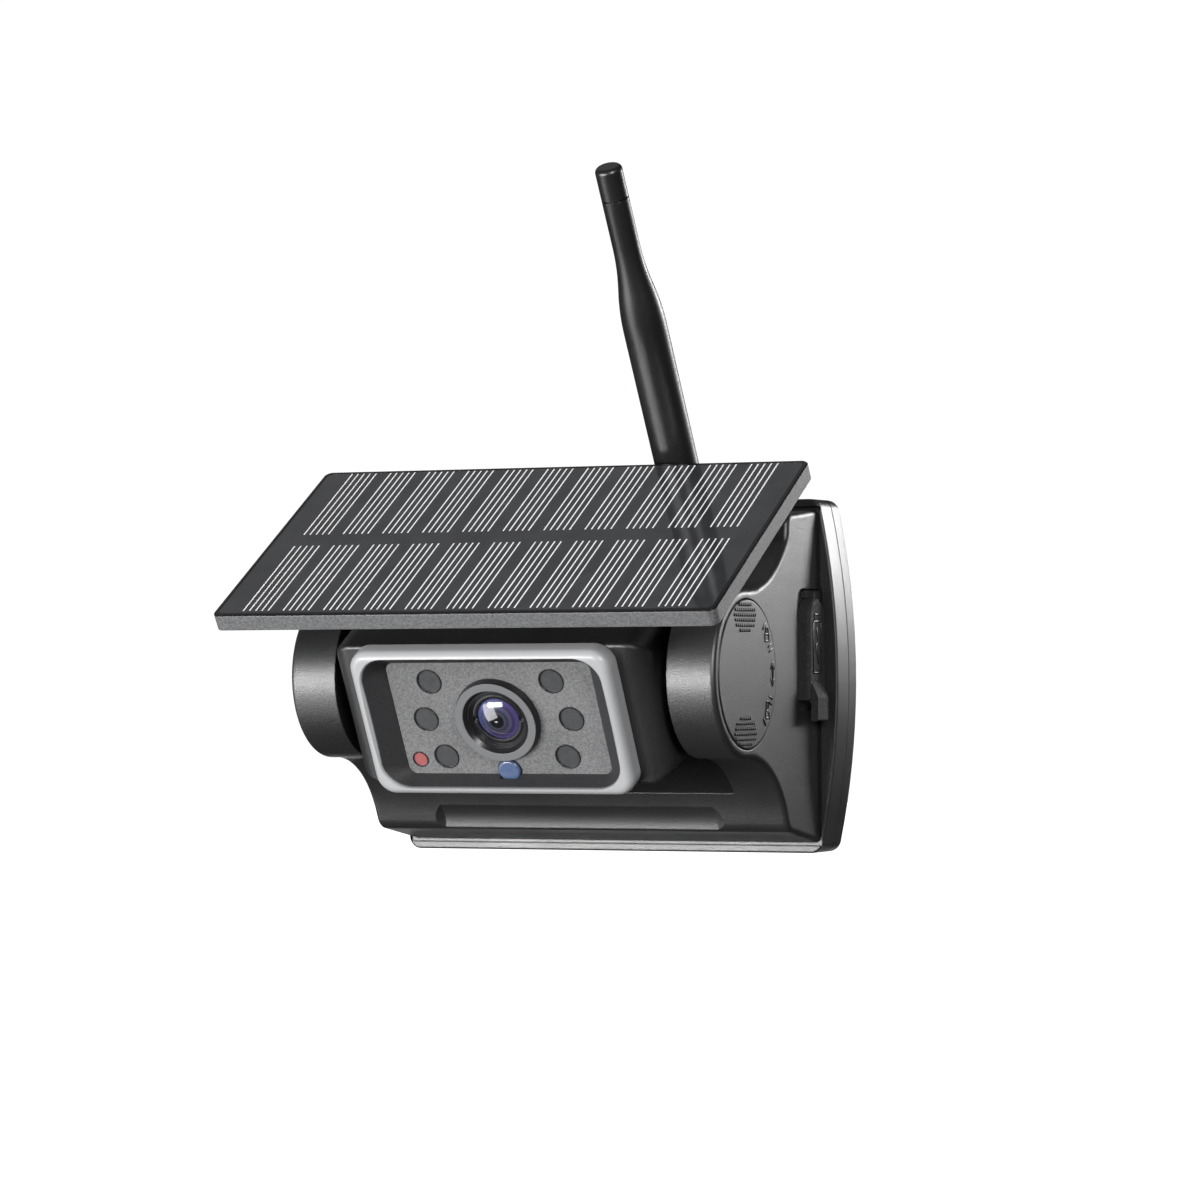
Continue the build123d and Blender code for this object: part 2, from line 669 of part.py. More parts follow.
for side, side_name in ((-1, "left"), (1, "right")):
    with BuildPart() as trunnion:
        with BuildSketch(end_on(side * (head_half_width - head_wall))):
            Circle(trunnion_radius)
            Circle(trunnion_bore, mode=Mode.SUBTRACT)
        extrude(amount=side * (flange_x - head_half_width + head_wall))
        with BuildSketch(end_on(side * flange_x)):
            Circle(bush_radius + 1.0)
            Circle(trunnion_bore, mode=Mode.SUBTRACT)
        extrude(amount=side * 1.4)
    trunnion.part.label = f"{side_name}_trunnion"
    export_step(trunnion.part, f"parts/{side_name}_trunnion.step")

with BuildPart() as left_cap:
    with BuildSketch(end_on(-cover_face_x)):
        Circle(cup_radius)
    extrude(amount=cover_thickness)
    chamfer(left_cap.faces().sort_by(Axis.X)[0].edges(), cap_edge)
left_cap.part.label = "left_cap"
export_step(left_cap.part, "parts/left_cap.step")

# ================================================================ CONTROLS IN THE RIGHT CUP
button_sites = {
    "pair": (cos(radians(button_angle)) * button_circle, -sin(radians(button_angle)) * button_circle),
    "power": (cos(radians(button_angle)) * button_circle, sin(radians(button_angle)) * button_circle),
}
with BuildPart() as button_board:
    with BuildSketch(end_on(cup_floor_x)):
        Circle(cup_radius - 0.4)
        Circle(bush_radius + 2.2, mode=Mode.SUBTRACT)
    extrude(amount=1.0)
    with BuildSketch(end_on(cup_floor_x + 1.0)):
        with Locations(*button_sites.values()):
            Rectangle(3.2, 3.2)
    extrude(amount=0.4)
button_board.part.label = "button_board"
export_step(button_board.part, "parts/button_board.step")

with BuildPart() as service_plate:
    with BuildSketch(end_on(service_plate_x)):
        Circle(cup_radius - 0.05)
        Circle(bush_radius + 1.6, mode=Mode.SUBTRACT)
        with Locations(*button_sites.values()):
            Circle(button_radius + 0.1, mode=Mode.SUBTRACT)
    extrude(amount=service_plate_thickness)
service_plate.part.label = "service_plate"
export_step(service_plate.part, "parts/service_plate.step")

for use, site in button_sites.items():
    with BuildPart() as button:
        with BuildSketch(end_on(cup_floor_x + 1.4 + button_travel + 0.1)):
            with Locations(site):
                Circle(button_radius + 0.6)
        extrude(amount=service_plate_x - cup_floor_x - 1.4 - button_travel - 0.2)
        with BuildSketch(end_on(service_plate_x - 0.1)):
            with Locations(site):
                Circle(button_radius)
        extrude(amount=1.4)
        fillet(button.faces().sort_by(Axis.X)[-1].edges(), 0.3)
    button.part.label = f"{use}_button"
    export_step(button.part, f"parts/{use}_button.step")

with BuildPart() as twist_cover:
    with BuildSketch(end_on(cover_face_x)):
        Circle(cover_radius)
    extrude(amount=-cover_thickness)
    chamfer(twist_cover.faces().sort_by(Axis.X)[-1].edges(), cap_edge)
    with BuildSketch(end_on(cover_face_x - cover_thickness)):
        Circle(skirt_radius)
        Circle(skirt_radius - skirt_wall, mode=Mode.SUBTRACT)
    extrude(amount=-skirt_depth)
    with BuildSketch(end_on(cover_face_x - cover_thickness - skirt_depth)):
        with PolarLocations(0, 3, start_angle=0):
            with Locations((skirt_radius, 0)):
                Rectangle(2 * lug_rise, 6.0)
        Circle(skirt_radius - skirt_wall, mode=Mode.SUBTRACT)
    extrude(amount=lug_width)
twist_cover.part.label = "twist_cover"
export_step(twist_cover.part, "parts/twist_cover.step")

with BuildPart() as cover_o_ring:
    with BuildSketch(Plane(origin=tilt_point, x_dir=(1, 0, 0), z_dir=(0, -1, 0))):
        with Locations((cover_face_x - cover_thickness - 0.42, skirt_radius + 0.44)):
            Circle(0.4)
    revolve(axis=Axis(tilt_point, (1, 0, 0)))
cover_o_ring.part.label = "cover_o_ring"
export_step(cover_o_ring.part, "parts/cover_o_ring.step")

# ================================================================ CHARGING PORT FLAP
flap_inner_x = body_half_width - port_recess_depth + flap_gap
flap_middle_y = sum(flap_y) / 2
flap_width = flap_y[1] - flap_y[0]
with BuildPart() as usb_flap:
    with BuildSketch(Plane.YZ.offset(flap_outer_x)):
        with Locations((flap_middle_y, sum(flap_z) / 2)):
            SlotOverall(flap_z[1] - flap_z[0], flap_width, rotation=90)
        with Locations((flap_middle_y, flap_z[0])):
            Rectangle(flap_width, flap_width, align=(Align.CENTER, Align.MIN))
    extrude(amount=flap_inner_x - flap_outer_x)
    fillet(usb_flap.faces().sort_by(Axis.X)[-1].edges(), 0.8)
    # pull tab, bent outwards
    with BuildSketch(across(flap_middle_y - 0.6)) as tab_profile:
        with BuildLine():
            tab_x, tab_end = flap_outer_x + tab_kick, flap_z[0] - tab_drop
            tab_root_x = flap_outer_x - tab_thickness
            Polyline(
                (flap_outer_x - 0.05, flap_z[0] + 4.2), (tab_x, flap_z[0] + 0.8), (tab_x, tab_end),
                (tab_x - tab_thickness, tab_end), (tab_x - tab_thickness, flap_z[0] - 0.6),
                (tab_root_x, flap_z[0] + 0.9), (tab_root_x, flap_z[0] + 4.2),
                close=True,
            )
        make_face()
        fillet(tab_profile.vertices().group_by(Axis.Y)[0], 0.5)
        fillet(tab_profile.vertices().sort_by_distance((tab_x, flap_z[0] + 0.8))[0], 1.5)
    extrude(amount=tab_width / 2, both=True)
    # plug that fills the port
    with BuildSketch(Plane.YZ.offset(flap_inner_x)):
        with Locations((usb_y, usb_z)):
            RectangleRounded(usb_thickness - 1.4, usb_width - 2.2, 0.7)
    extrude(amount=-0.9)
usb_flap.part.label = "usb_flap"
export_step(usb_flap.part, "parts/usb_flap.step")

with BuildPart() as flap_anchor:
    with BuildSketch(Plane.YZ.offset(body_half_width - port_recess_depth)):
        with Locations((flap_middle_y, flap_z[1] + 0.2)):
            Rectangle(4.0, 1.6, align=(Align.CENTER, Align.MIN))
    extrude(amount=1.0)
flap_anchor.part.label = "flap_anchor"
export_step(flap_anchor.part, "parts/flap_anchor.step")

# ================================================================ CAMERA HEAD
with BuildPart() as head_shell:
    with BuildSketch(head_side) as head_profile:
        with BuildLine():
            ThreePointArc((0, head_rear_radius), (-head_rear_radius, 0), (0, -head_rear_radius))
            Line((0, -head_rear_radius), (face_plane, head_bottom))
            Line((face_plane, head_bottom), (face_plane, head_top))
            Line((face_plane, head_top), (0, head_rear_radius))
        make_face()
        fillet(head_profile.vertices().group_by(Axis.X)[-1], 0.8)
        fillet(head_profile.vertices().sort_by_distance((0, head_rear_radius))[0], 6.0)
        fillet(head_profile.vertices().sort_by_distance((0, -head_rear_radius))[0], 6.0)
    extrude(amount=head_half_width, both=True)
    for end in (0, -1):
        fillet(head_shell.faces().sort_by(Axis.X)[end].edges(), head_end_radius)
    with BuildSketch(head_side):
        with BuildLine():
            inner = head_rear_radius - head_wall
            ThreePointArc((0, inner), (-inner, 0), (0, -inner))
            cavity_front = face_plane - front_wall
            Line((0, -inner), (cavity_front, head_bottom + head_wall))
            Line((cavity_front, head_bottom + head_wall), (cavity_front, head_top - head_wall))
            Line((cavity_front, head_top - head_wall), (0, inner))
        make_face()
    extrude(amount=head_half_width - head_end_radius, both=True, mode=Mode.SUBTRACT)
    # front opening and the rebate that the face plate lies in
    with BuildSketch(face_at.offset(face_plane)):
        add(tall_box(face_half_width + face_ledge, face_bottom - 1.1, face_top + face_ledge, 2.5))
    extrude(amount=-face_thickness, mode=Mode.SUBTRACT)
    with BuildSketch(face_at.offset(face_plane)):
        add(tall_box(face_half_width - 1.6, face_bottom + 1.6, face_top - 1.6, 2.0))
    extrude(amount=-front_wall - 1, mode=Mode.SUBTRACT)
    with BuildSketch(face_at.offset(face_plane)):
        with Locations(sensor_site):
            Circle(sensor_radius + 0.1)
    extrude(amount=-face_thickness, mode=Mode.SUBTRACT)
    with BuildSketch(face_at.offset(face_plane)):
        with Locations(*bezel_screw_sites):
            Circle(bezel_screw_radius + screw_fit)
    extrude(amount=-front_wall - 1, mode=Mode.SUBTRACT)
    # holes for the trunnions
    with BuildSketch(end_on(-head_half_width)):
        Circle(trunnion_radius)
    extrude(amount=2 * head_half_width, mode=Mode.SUBTRACT)
head_shell.part.label = "head_shell"
export_step(head_shell.part, "parts/head_shell.step")

bezel_front = face_plane + bezel_depth
with BuildPart() as mouth_funnel:
    with BuildSketch(face_at.offset(bezel_front)):
        add(mouth_outline())
    with BuildSketch(face_at.offset(face_plane)):
        add(tall_box(face_half_width, face_bottom, face_top, 2.0))
    loft(ruled=True)

with BuildPart() as head_bezel:
    with BuildSketch(face_at.offset(face_plane)):
        add(tall_box(bezel_half_width, bezel_bottom, bezel_top, bezel_corner_radius))
    extrude(amount=bezel_depth)
    fillet(head_bezel.faces().sort_by(Axis(tilt_point, look))[-1].edges(), bezel_edge_radius)
    add(mouth_funnel.part, mode=Mode.SUBTRACT)
    with BuildSketch(face_at.offset(face_plane)):
        with Locations(sensor_site):
            Circle(sensor_radius + 0.1)
    extrude(amount=1.6, mode=Mode.SUBTRACT)
    with BuildSketch(face_at.offset(face_plane)):
        with Locations(*bezel_screw_sites):
            Circle(bezel_screw_radius + screw_fit)
    extrude(amount=2.4, mode=Mode.SUBTRACT)
head_bezel.part.label = "head_bezel"
export_step(head_bezel.part, "parts/head_bezel.step")

with BuildPart() as face_plate:
    with BuildSketch(face_at.offset(face_plane)):
        add(tall_box(face_half_width + face_ledge - 0.1, face_bottom - 1.0, face_top + face_ledge - 0.1, 2.4))
        with Locations(*window_sites):
            Circle(window_radius + window_gap, mode=Mode.SUBTRACT)
        with Locations(status_site):
            Circle(status_radius + window_gap, mode=Mode.SUBTRACT)
        with Locations(sensor_site):
            Circle(sensor_radius + window_gap, mode=Mode.SUBTRACT)
        Circle(lens_mouth_radius, mode=Mode.SUBTRACT)
    extrude(amount=-face_thickness)
face_plate.part.label = "face_plate"
export_step(face_plate.part, "parts/face_plate.step")

with BuildPart() as ir_windows:
    with BuildSketch(face_at.offset(face_plane - 0.2)):
        with Locations(*window_sites):
            Circle(window_radius)
    extrude(amount=-1.2)
ir_windows.part.label = "ir_windows"
export_step(ir_windows.part, "parts/ir_windows.step")

with BuildPart() as status_window:
    with BuildSketch(face_at.offset(face_plane - 0.1)):
        with Locations(status_site):
            Circle(status_radius)
    extrude(amount=-1.3)
status_window.part.label = "status_window"
export_step(status_window.part, "parts/status_window.step")

with BuildPart() as sensor_window:
    with BuildSketch(face_at.offset(face_plane + 0.9)):
        with Locations(sensor_site):
            Circle(sensor_radius)
    extrude(amount=-2.3)
    fillet(sensor_window.faces().sort_by(Axis(tilt_point, look))[-1].edges(), 0.6)
sensor_window.part.label = "sensor_window"
export_step(sensor_window.part, "parts/sensor_window.step")

lens_top = face_plane + lens_ring_rise
lens_seat = face_plane - 0.6
with BuildPart() as lens_ring:
    with BuildSketch(lens_section):
        with BuildLine():
            Polyline(
                (lens_glass_radius + 0.05, lens_seat - 0.9), (lens_mouth_radius - 0.1, lens_seat - 0.9),
                (lens_mouth_radius - 0.1, face_plane), (lens_ring_radius, face_plane),
                (lens_ring_radius, lens_top - 1.4), (lens_ring_front_radius, lens_top),
                (lens_mouth_radius, lens_top), (lens_mouth_radius - 0.9, lens_top - 0.9),
                (lens_mouth_radius - 0.9, lens_top - 1.1), (lens_glass_radius + 0.05, lens_seat + 0.1),
                close=True,
            )
        make_face()
    revolve(axis=lens_axis)
lens_ring.part.label = "lens_ring"
export_step(lens_ring.part, "parts/lens_ring.step")

with BuildPart() as lens_glass:
    with BuildSketch(lens_section):
        with BuildLine():
            Line((0, lens_seat - 0.8), (lens_glass_radius, lens_seat - 0.8))
            Line((lens_glass_radius, lens_seat - 0.8), (lens_glass_radius, lens_seat))
            TangentArc((0, lens_seat + 1.9), (lens_glass_radius, lens_seat), tangent=(1, 0))
            Line((0, lens_seat + 1.9), (0, lens_seat - 0.8))
        make_face()
    revolve(axis=lens_axis)
lens_glass.part.label = "lens_glass"
export_step(lens_glass.part, "parts/lens_glass.step")

barrel_front = lens_seat - 0.9
with BuildPart() as lens_barrel:
    with BuildSketch(face_at.offset(barrel_front)):
        Circle(lens_barrel_radius)
        Circle(lens_barrel_radius - 1.0, mode=Mode.SUBTRACT)
    extrude(amount=-(barrel_front - 6.0))
lens_barrel.part.label = "lens_barrel"
export_step(lens_barrel.part, "parts/lens_barrel.step")

with BuildPart() as lens_elements:
    for depth in (17.0, 13.0, 9.0):
        with BuildSketch(lens_section):
            with BuildLine():
                Line((0, depth - 0.6), (lens_barrel_radius - 1.0, depth - 0.6))
                Line((lens_barrel_radius - 1.0, depth - 0.6), (lens_barrel_radius - 1.0, depth))
                TangentArc((0, depth + 0.95), (lens_barrel_radius - 1.0, depth), tangent=(1, 0))
                Line((0, depth + 0.95), (0, depth - 0.6))
            make_face()
        revolve(axis=lens_axis)
lens_elements.part.label = "lens_elements"
export_step(lens_elements.part, "parts/lens_elements.step")

board_depth = 2.0
with BuildPart() as sensor_board:
    with BuildSketch(face_at.offset(board_depth)):
        Rectangle(22, 24)
    extrude(amount=-1.2)
sensor_board.part.label = "sensor_board"
export_step(sensor_board.part, "parts/sensor_board.step")

with BuildPart() as image_sensor:
    with BuildSketch(face_at.offset(board_depth)):
        Rectangle(7.6, 6.2)
    extrude(amount=1.0)
image_sensor.part.label = "image_sensor"
export_step(image_sensor.part, "parts/image_sensor.step")

with BuildPart() as lens_holder:
    with BuildSketch(face_at.offset(board_depth)):
        RectangleRounded(15, 15, 1.0)
    extrude(amount=4.5)
    with BuildSketch(face_at.offset(board_depth + 4.5)):
        Circle(lens_barrel_radius + 1.2)
    extrude(amount=5.0)
    with BuildSketch(face_at.offset(board_depth + 4.0)):
        Circle(lens_barrel_radius)
    extrude(amount=6.0, mode=Mode.SUBTRACT)
    with BuildSketch(face_at.offset(board_depth)):
        Rectangle(9, 8)
    extrude(amount=5.0, mode=Mode.SUBTRACT)
lens_holder.part.label = "lens_holder"
export_step(lens_holder.part, "parts/lens_holder.step")

led_board_depth = face_plane - front_wall - 0.3
with BuildPart() as led_board:
    with BuildSketch(face_at.offset(led_board_depth)):
        add(tall_box(face_half_width, face_bottom + 0.6, face_top - 0.6, 1.5))
        Circle(lens_barrel_radius + 0.4, mode=Mode.SUBTRACT)
    extrude(amount=-1.2)
led_board.part.label = "led_board"
export_step(led_board.part, "parts/led_board.step")

with BuildPart() as ir_leds:
    with BuildSketch(face_at.offset(led_board_depth)):
        with Locations(*window_sites):
            Circle(1.8)
    extrude(amount=2.2)
    led_domes = ir_leds.faces().filter_by(face_at).group_by(lens_axis)[-1]
    fillet(led_domes.edges(), 0.9)
ir_leds.part.label = "ir_leds"
export_step(ir_leds.part, "parts/ir_leds.step")

with BuildPart() as status_led:
    with BuildSketch(face_at.offset(led_board_depth)):
        with Locations(status_site):
            Rectangle(1.6, 1.6)
    extrude(amount=1.0)
status_led.part.label = "status_led"
export_step(status_led.part, "parts/status_led.step")

with BuildPart() as light_sensor:
    with BuildSketch(face_at.offset(led_board_depth)):
        with Locations((sensor_site[0], sensor_site[1] + 1.7)):
            Rectangle(2.2, 1.6)
    extrude(amount=1.0)
light_sensor.part.label = "light_sensor"
export_step(light_sensor.part, "parts/light_sensor.step")

with BuildPart() as bezel_screws:
    with BuildSketch(face_at.offset(face_plane - front_wall)):
        with Locations(*bezel_screw_sites):
            Circle(bezel_screw_radius + 0.7)
    extrude(amount=-1.2)
    with BuildSketch(face_at.offset(face_plane - front_wall)):
        with Locations(*bezel_screw_sites):
            Circle(bezel_screw_radius)
    extrude(amount=front_wall + 2.2)
bezel_screws.part.label = "bezel_screws"
export_step(bezel_screws.part, "parts/bezel_screws.step")

with BuildPart() as head_cable:
    with BuildSketch(end_on(-11.5)):
        Circle(1.0)
    extrude(amount=-(arm_inner_x - 1.6 - 11.5))
head_cable.part.label = "head_cable"
export_step(head_cable.part, "parts/head_cable.step")

# ================================================================ SOLAR PANEL
with BuildPart() as panel_tray:
    with BuildSketch(panel_top):
        RectangleRounded(panel_width, panel_depth, panel_corner_radius)
    extrude(amount=-panel_thickness)
    chamfer(panel_tray.faces().sort_by(Axis(panel_top.origin, panel_normal))[-1].edges(), 0.3)
    with BuildSketch(panel_top):
        RectangleRounded(panel_width - 2 * panel_rim, panel_depth - 2 * panel_rim, panel_corner_radius - 0.8)
    extrude(amount=-glass_thickness - cell_sheet_thickness, mode=Mode.SUBTRACT)
    # hinge lugs under the tray
    lug_centres = [-bracket_arm_x + 3.9, bracket_arm_x - 3.9]
    for x in lug_centres:
        with BuildSketch(hinge_side.offset(x - 1.6)):
            Circle(knuckle_radius)
            with BuildLine():
                along = Vector(cos(radians(panel_tilt)), sin(radians(panel_tilt)))
                out = Vector(-sin(radians(panel_tilt)), cos(radians(panel_tilt)))
                rise = hinge_drop - panel_thickness
                Polyline(
                    along * -knuckle_radius, along * -knuckle_radius + out * rise,
                    along * (knuckle_radius + 4) + out * rise, along * knuckle_radius, close=True,
                )
            make_face()
        extrude(amount=3.2)
    with BuildSketch(hinge_side.offset(-panel_width / 2)):
        Circle(hinge_pin_radius)
    extrude(amount=panel_width, mode=Mode.SUBTRACT)
panel_tray.part.label = "panel_tray"
export_step(panel_tray.part, "parts/panel_tray.step")

sheet_gap = 0.05
with BuildPart() as solar_cells:
    with BuildSketch(panel_top.offset(-glass_thickness - cell_sheet_thickness)):
        rim = 2 * (panel_rim + sheet_gap)
        RectangleRounded(panel_width - rim, panel_depth - rim, panel_corner_radius - 0.85)
    extrude(amount=cell_sheet_thickness)
solar_cells.part.label = "solar_cells"
export_step(solar_cells.part, "parts/solar_cells.step")

with BuildPart() as panel_glass:
    with BuildSketch(panel_top.offset(-glass_thickness)):
        RectangleRounded(panel_width - rim, panel_depth - rim, panel_corner_radius - 0.85)
    extrude(amount=glass_thickness - 0.05)
panel_glass.part.label = "panel_glass"
export_step(panel_glass.part, "parts/panel_glass.step")

with BuildPart() as panel_bracket:
    with BuildSketch(Plane.XY.offset(shelf_z)):
        with Locations((0, tilt_axis_y + bracket_seat_y)):
            RectangleRounded(2 * (bracket_arm_x + bracket_arm_width / 2), 16.0, 1.0)
    extrude(amount=bracket_foot)
    with Locations(*[(x, y, shelf_z + bracket_foot) for x, y in bracket_screw_sites]):
        CounterSinkHole(screw_radius + 0.15, screw_head_radius + 0.1, 4, 90)
    for x in (-bracket_arm_x, bracket_arm_x):
        with BuildSketch(Plane.YZ.offset(x - bracket_arm_width / 2)):
            with BuildLine():
                pin = Vector(panel_hinge.Y, panel_hinge.Z)
                root = Vector(tilt_axis_y + 30.0, shelf_z)
                Polyline(
                    pin + Vector(0, knuckle_radius), (root.X, root.Y + bracket_foot), (root.X, root.Y),
                    (tilt_axis_y + 27.2, root.Y),
                    pin + Vector(0, -knuckle_radius), close=True,
                )
            make_face()
            with Locations(pin):
                Circle(knuckle_radius)
                Circle(hinge_pin_radius + running_gap / 2, mode=Mode.SUBTRACT)
        extrude(amount=bracket_arm_width)
panel_bracket.part.label = "panel_bracket"
export_step(panel_bracket.part, "parts/panel_bracket.step")

with BuildPart() as bracket_screws:
    for x, y in bracket_screw_sites:
        with BuildSketch(Plane(origin=(x, y, shelf_z + bracket_foot), x_dir=(1, 0, 0), z_dir=(0, -1, 0))):
            with BuildLine():
                Polyline(
                    (0, 0), (screw_head_radius, 0), (screw_radius, screw_radius - screw_head_radius),
                    (screw_radius, -4.2), (0, -4.2), close=True,
                )
            make_face()
        revolve(axis=Axis((x, y, 0), (0, 0, 1)))
bracket_screws.part.label = "bracket_screws"
export_step(bracket_screws.part, "parts/bracket_screws.step")

pin_half_length = bracket_arm_x + bracket_arm_width / 2 + 0.8
with BuildPart() as panel_pin:
    with BuildSketch(hinge_side.offset(-pin_half_length)):
        Circle(hinge_pin_radius)
    extrude(amount=2 * pin_half_length)
panel_pin.part.label = "panel_pin"
export_step(panel_pin.part, "parts/panel_pin.step")

# ================================================================ ANTENNA
fork_inner = tongue_thickness / 2 + 0.3
fork_outer = fork_inner + fork_wall
with BuildPart() as antenna_base:
    with BuildSketch(Plane.XY.offset(shelf_z)):
        with Locations((antenna_x, tilt_axis_y + antenna_seat_y - 0.2)):
            RectangleRounded(13.0, 13.4, 1.5)
    extrude(amount=1.6)
    for x in (-fork_outer, fork_inner):
        with BuildSketch(antenna_side.offset(x)):
            Circle(fork_radius)
            Rectangle(2 * fork_radius, antenna_pivot_z - seat_z, align=(Align.CENTER, Align.MAX))
            Circle(antenna_pin_radius + 0.02, mode=Mode.SUBTRACT)
        extrude(amount=fork_wall)
    # spigot down into the cable hole
    with BuildSketch(Plane.XY.offset(shelf_z)):
        with Locations((antenna_x, tilt_axis_y + antenna_cable_y)):
            Circle(1.4)
    extrude(amount=-1.8)
antenna_base.part.label = "antenna_base"
export_step(antenna_base.part, "parts/antenna_base.step")

flare_low, flare_high = antenna_flare
flare_middle = ((antenna_radius + antenna_tip_radius) / 2, (flare_low + flare_high) / 2)
sleeve_top = antenna_length - antenna_cap - 0.3
rod_radius = 0.9
rod_start = 8.0
with BuildPart() as antenna_sleeve:
    with BuildSketch(antenna_section):
        with BuildLine():
            Line((rod_radius + 0.3, rod_start), (0, rod_start))
            Line((0, rod_start), (0, antenna_start))
            Line((0, antenna_start), (antenna_radius - 0.8, antenna_start))
            Line((antenna_radius - 0.8, antenna_start), (antenna_radius, antenna_start + 0.8))
            Line((antenna_radius, antenna_start + 0.8), (antenna_radius, flare_low))
            lower_flare = TangentArc((antenna_radius, flare_low), flare_middle, tangent=(0, 1))
            TangentArc(flare_middle, (antenna_tip_radius, flare_high), tangent=lower_flare % 1)
            Line((antenna_tip_radius, flare_high), (antenna_tip_radius, sleeve_top))
            Line((antenna_tip_radius, sleeve_top), (rod_radius + 0.3, sleeve_top))
            Line((rod_radius + 0.3, sleeve_top), (rod_radius + 0.3, rod_start))
        make_face()
    revolve(axis=antenna_axis)
    # tongue that the hinge pin goes through
    with BuildSketch(antenna_side.offset(-tongue_thickness / 2)):
        Circle(tongue_radius)
        with Locations(Location((0, 0), antenna_lean)):
            Rectangle(2 * tongue_radius, antenna_start + 0.6, align=(Align.CENTER, Align.MIN))
        Circle(antenna_pin_radius + running_gap, mode=Mode.SUBTRACT)
    extrude(amount=tongue_thickness)
antenna_sleeve.part.label = "antenna_sleeve"
export_step(antenna_sleeve.part, "parts/antenna_sleeve.step")

with BuildPart() as antenna_rod:
    rod_foot = antenna_pivot + antenna_line * rod_start
    with BuildSketch(Plane(origin=rod_foot, x_dir=(1, 0, 0), z_dir=antenna_line)):
        Circle(rod_radius)
    extrude(amount=sleeve_top - rod_start)
antenna_rod.part.label = "antenna_rod"
export_step(antenna_rod.part, "parts/antenna_rod.step")

with BuildPart() as antenna_tip:
    with BuildSketch(antenna_section):
        with BuildLine():
            dome = 1.1
            Line((0, sleeve_top), (antenna_tip_radius - 0.4, sleeve_top))
            Line((antenna_tip_radius - 0.4, sleeve_top), (antenna_tip_radius - 0.4, sleeve_top + 0.3))
            Line((antenna_tip_radius - 0.4, sleeve_top + 0.3), (antenna_tip_radius, sleeve_top + 0.3))
            Line((antenna_tip_radius, sleeve_top + 0.3), (antenna_tip_radius, antenna_length - dome))
            shoulder = ThreePointArc(
                (antenna_tip_radius, antenna_length - dome),
                (antenna_tip_radius - 0.3 * dome, antenna_length - 0.3 * dome),
                (antenna_tip_radius - dome, antenna_length),
            )
            Line(shoulder @ 1, (0, antenna_length))
            Line((0, antenna_length), (0, sleeve_top))
        make_face()
    revolve(axis=antenna_axis)
antenna_tip.part.label = "antenna_tip"
export_step(antenna_tip.part, "parts/antenna_tip.step")

with BuildPart() as antenna_pin:
    with BuildSketch(antenna_side.offset(-fork_outer - 0.4)):
        Circle(antenna_pin_radius)
    extrude(amount=2 * fork_outer + 0.8)
antenna_pin.part.label = "antenna_pin"
export_step(antenna_pin.part, "parts/antenna_pin.step")
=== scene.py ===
"""A wireless solar camera with a magnetic back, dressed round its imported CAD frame.

Lengths are in metres unless a name ends in _mm. The origin is the centre of the magnetic
rear face, the camera looks along -Y, +X is its right-hand end and +Z is up.
"""

from __future__ import annotations

import json
import logging
import math
from abc import ABC, abstractmethod
from dataclasses import dataclass
from enum import Enum
from typing import Any, Callable, Iterable, Sequence

import bpy
from mathutils import Matrix, Vector

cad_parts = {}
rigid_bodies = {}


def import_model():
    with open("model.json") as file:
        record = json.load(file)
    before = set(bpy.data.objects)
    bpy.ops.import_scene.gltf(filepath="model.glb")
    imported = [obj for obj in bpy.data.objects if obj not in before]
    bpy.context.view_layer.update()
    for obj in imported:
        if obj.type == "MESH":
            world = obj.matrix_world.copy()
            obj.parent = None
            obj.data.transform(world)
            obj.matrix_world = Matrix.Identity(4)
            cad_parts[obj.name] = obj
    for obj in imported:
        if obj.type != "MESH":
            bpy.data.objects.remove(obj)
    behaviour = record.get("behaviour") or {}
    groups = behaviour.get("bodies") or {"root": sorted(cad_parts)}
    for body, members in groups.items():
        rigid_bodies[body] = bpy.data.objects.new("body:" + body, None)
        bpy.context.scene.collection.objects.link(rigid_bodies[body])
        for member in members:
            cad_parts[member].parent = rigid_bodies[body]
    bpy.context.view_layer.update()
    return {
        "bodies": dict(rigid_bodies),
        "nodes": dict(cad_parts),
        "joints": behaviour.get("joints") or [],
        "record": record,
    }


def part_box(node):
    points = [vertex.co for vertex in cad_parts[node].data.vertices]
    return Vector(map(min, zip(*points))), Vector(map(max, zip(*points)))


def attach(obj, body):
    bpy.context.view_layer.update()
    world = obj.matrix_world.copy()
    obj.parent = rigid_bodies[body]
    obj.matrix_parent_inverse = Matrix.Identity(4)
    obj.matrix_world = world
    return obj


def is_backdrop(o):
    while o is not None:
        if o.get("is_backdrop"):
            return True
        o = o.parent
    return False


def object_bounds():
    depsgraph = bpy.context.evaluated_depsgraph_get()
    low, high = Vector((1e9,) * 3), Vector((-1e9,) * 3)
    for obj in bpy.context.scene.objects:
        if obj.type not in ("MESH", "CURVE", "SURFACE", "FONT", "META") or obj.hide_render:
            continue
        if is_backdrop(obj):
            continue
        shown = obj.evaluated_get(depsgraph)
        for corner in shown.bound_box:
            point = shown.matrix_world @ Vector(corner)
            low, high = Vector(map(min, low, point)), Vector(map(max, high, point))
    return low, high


LOG = logging.getLogger("solar_camera")
MM = 0.001
Colour = tuple[float, float, float]
Pair = tuple[float, float]
Pairs = tuple[Pair, ...]
Socket = bpy.types.NodeSocket
Piece = bpy.types.Object


def scaled(colour: Colour, factor: float) -> Colour:
    """A colour made lighter or darker."""
    return tuple(min(1.0, channel * factor) for channel in colour)


def placed(x: Vector, y: Vector, z: Vector, place: Vector) -> Matrix:
    """The matrix of a frame with these axes at this place."""
    rows = [(x[i], y[i], z[i], place[i]) for i in range(3)]
    return Matrix((*rows, (0.0, 0.0, 0.0, 1.0)))


def faces_up(_: Vector, normal: Vector) -> bool:
    """Whether a face of a piece that lies flat looks upwards."""
    return normal.z > 0.9


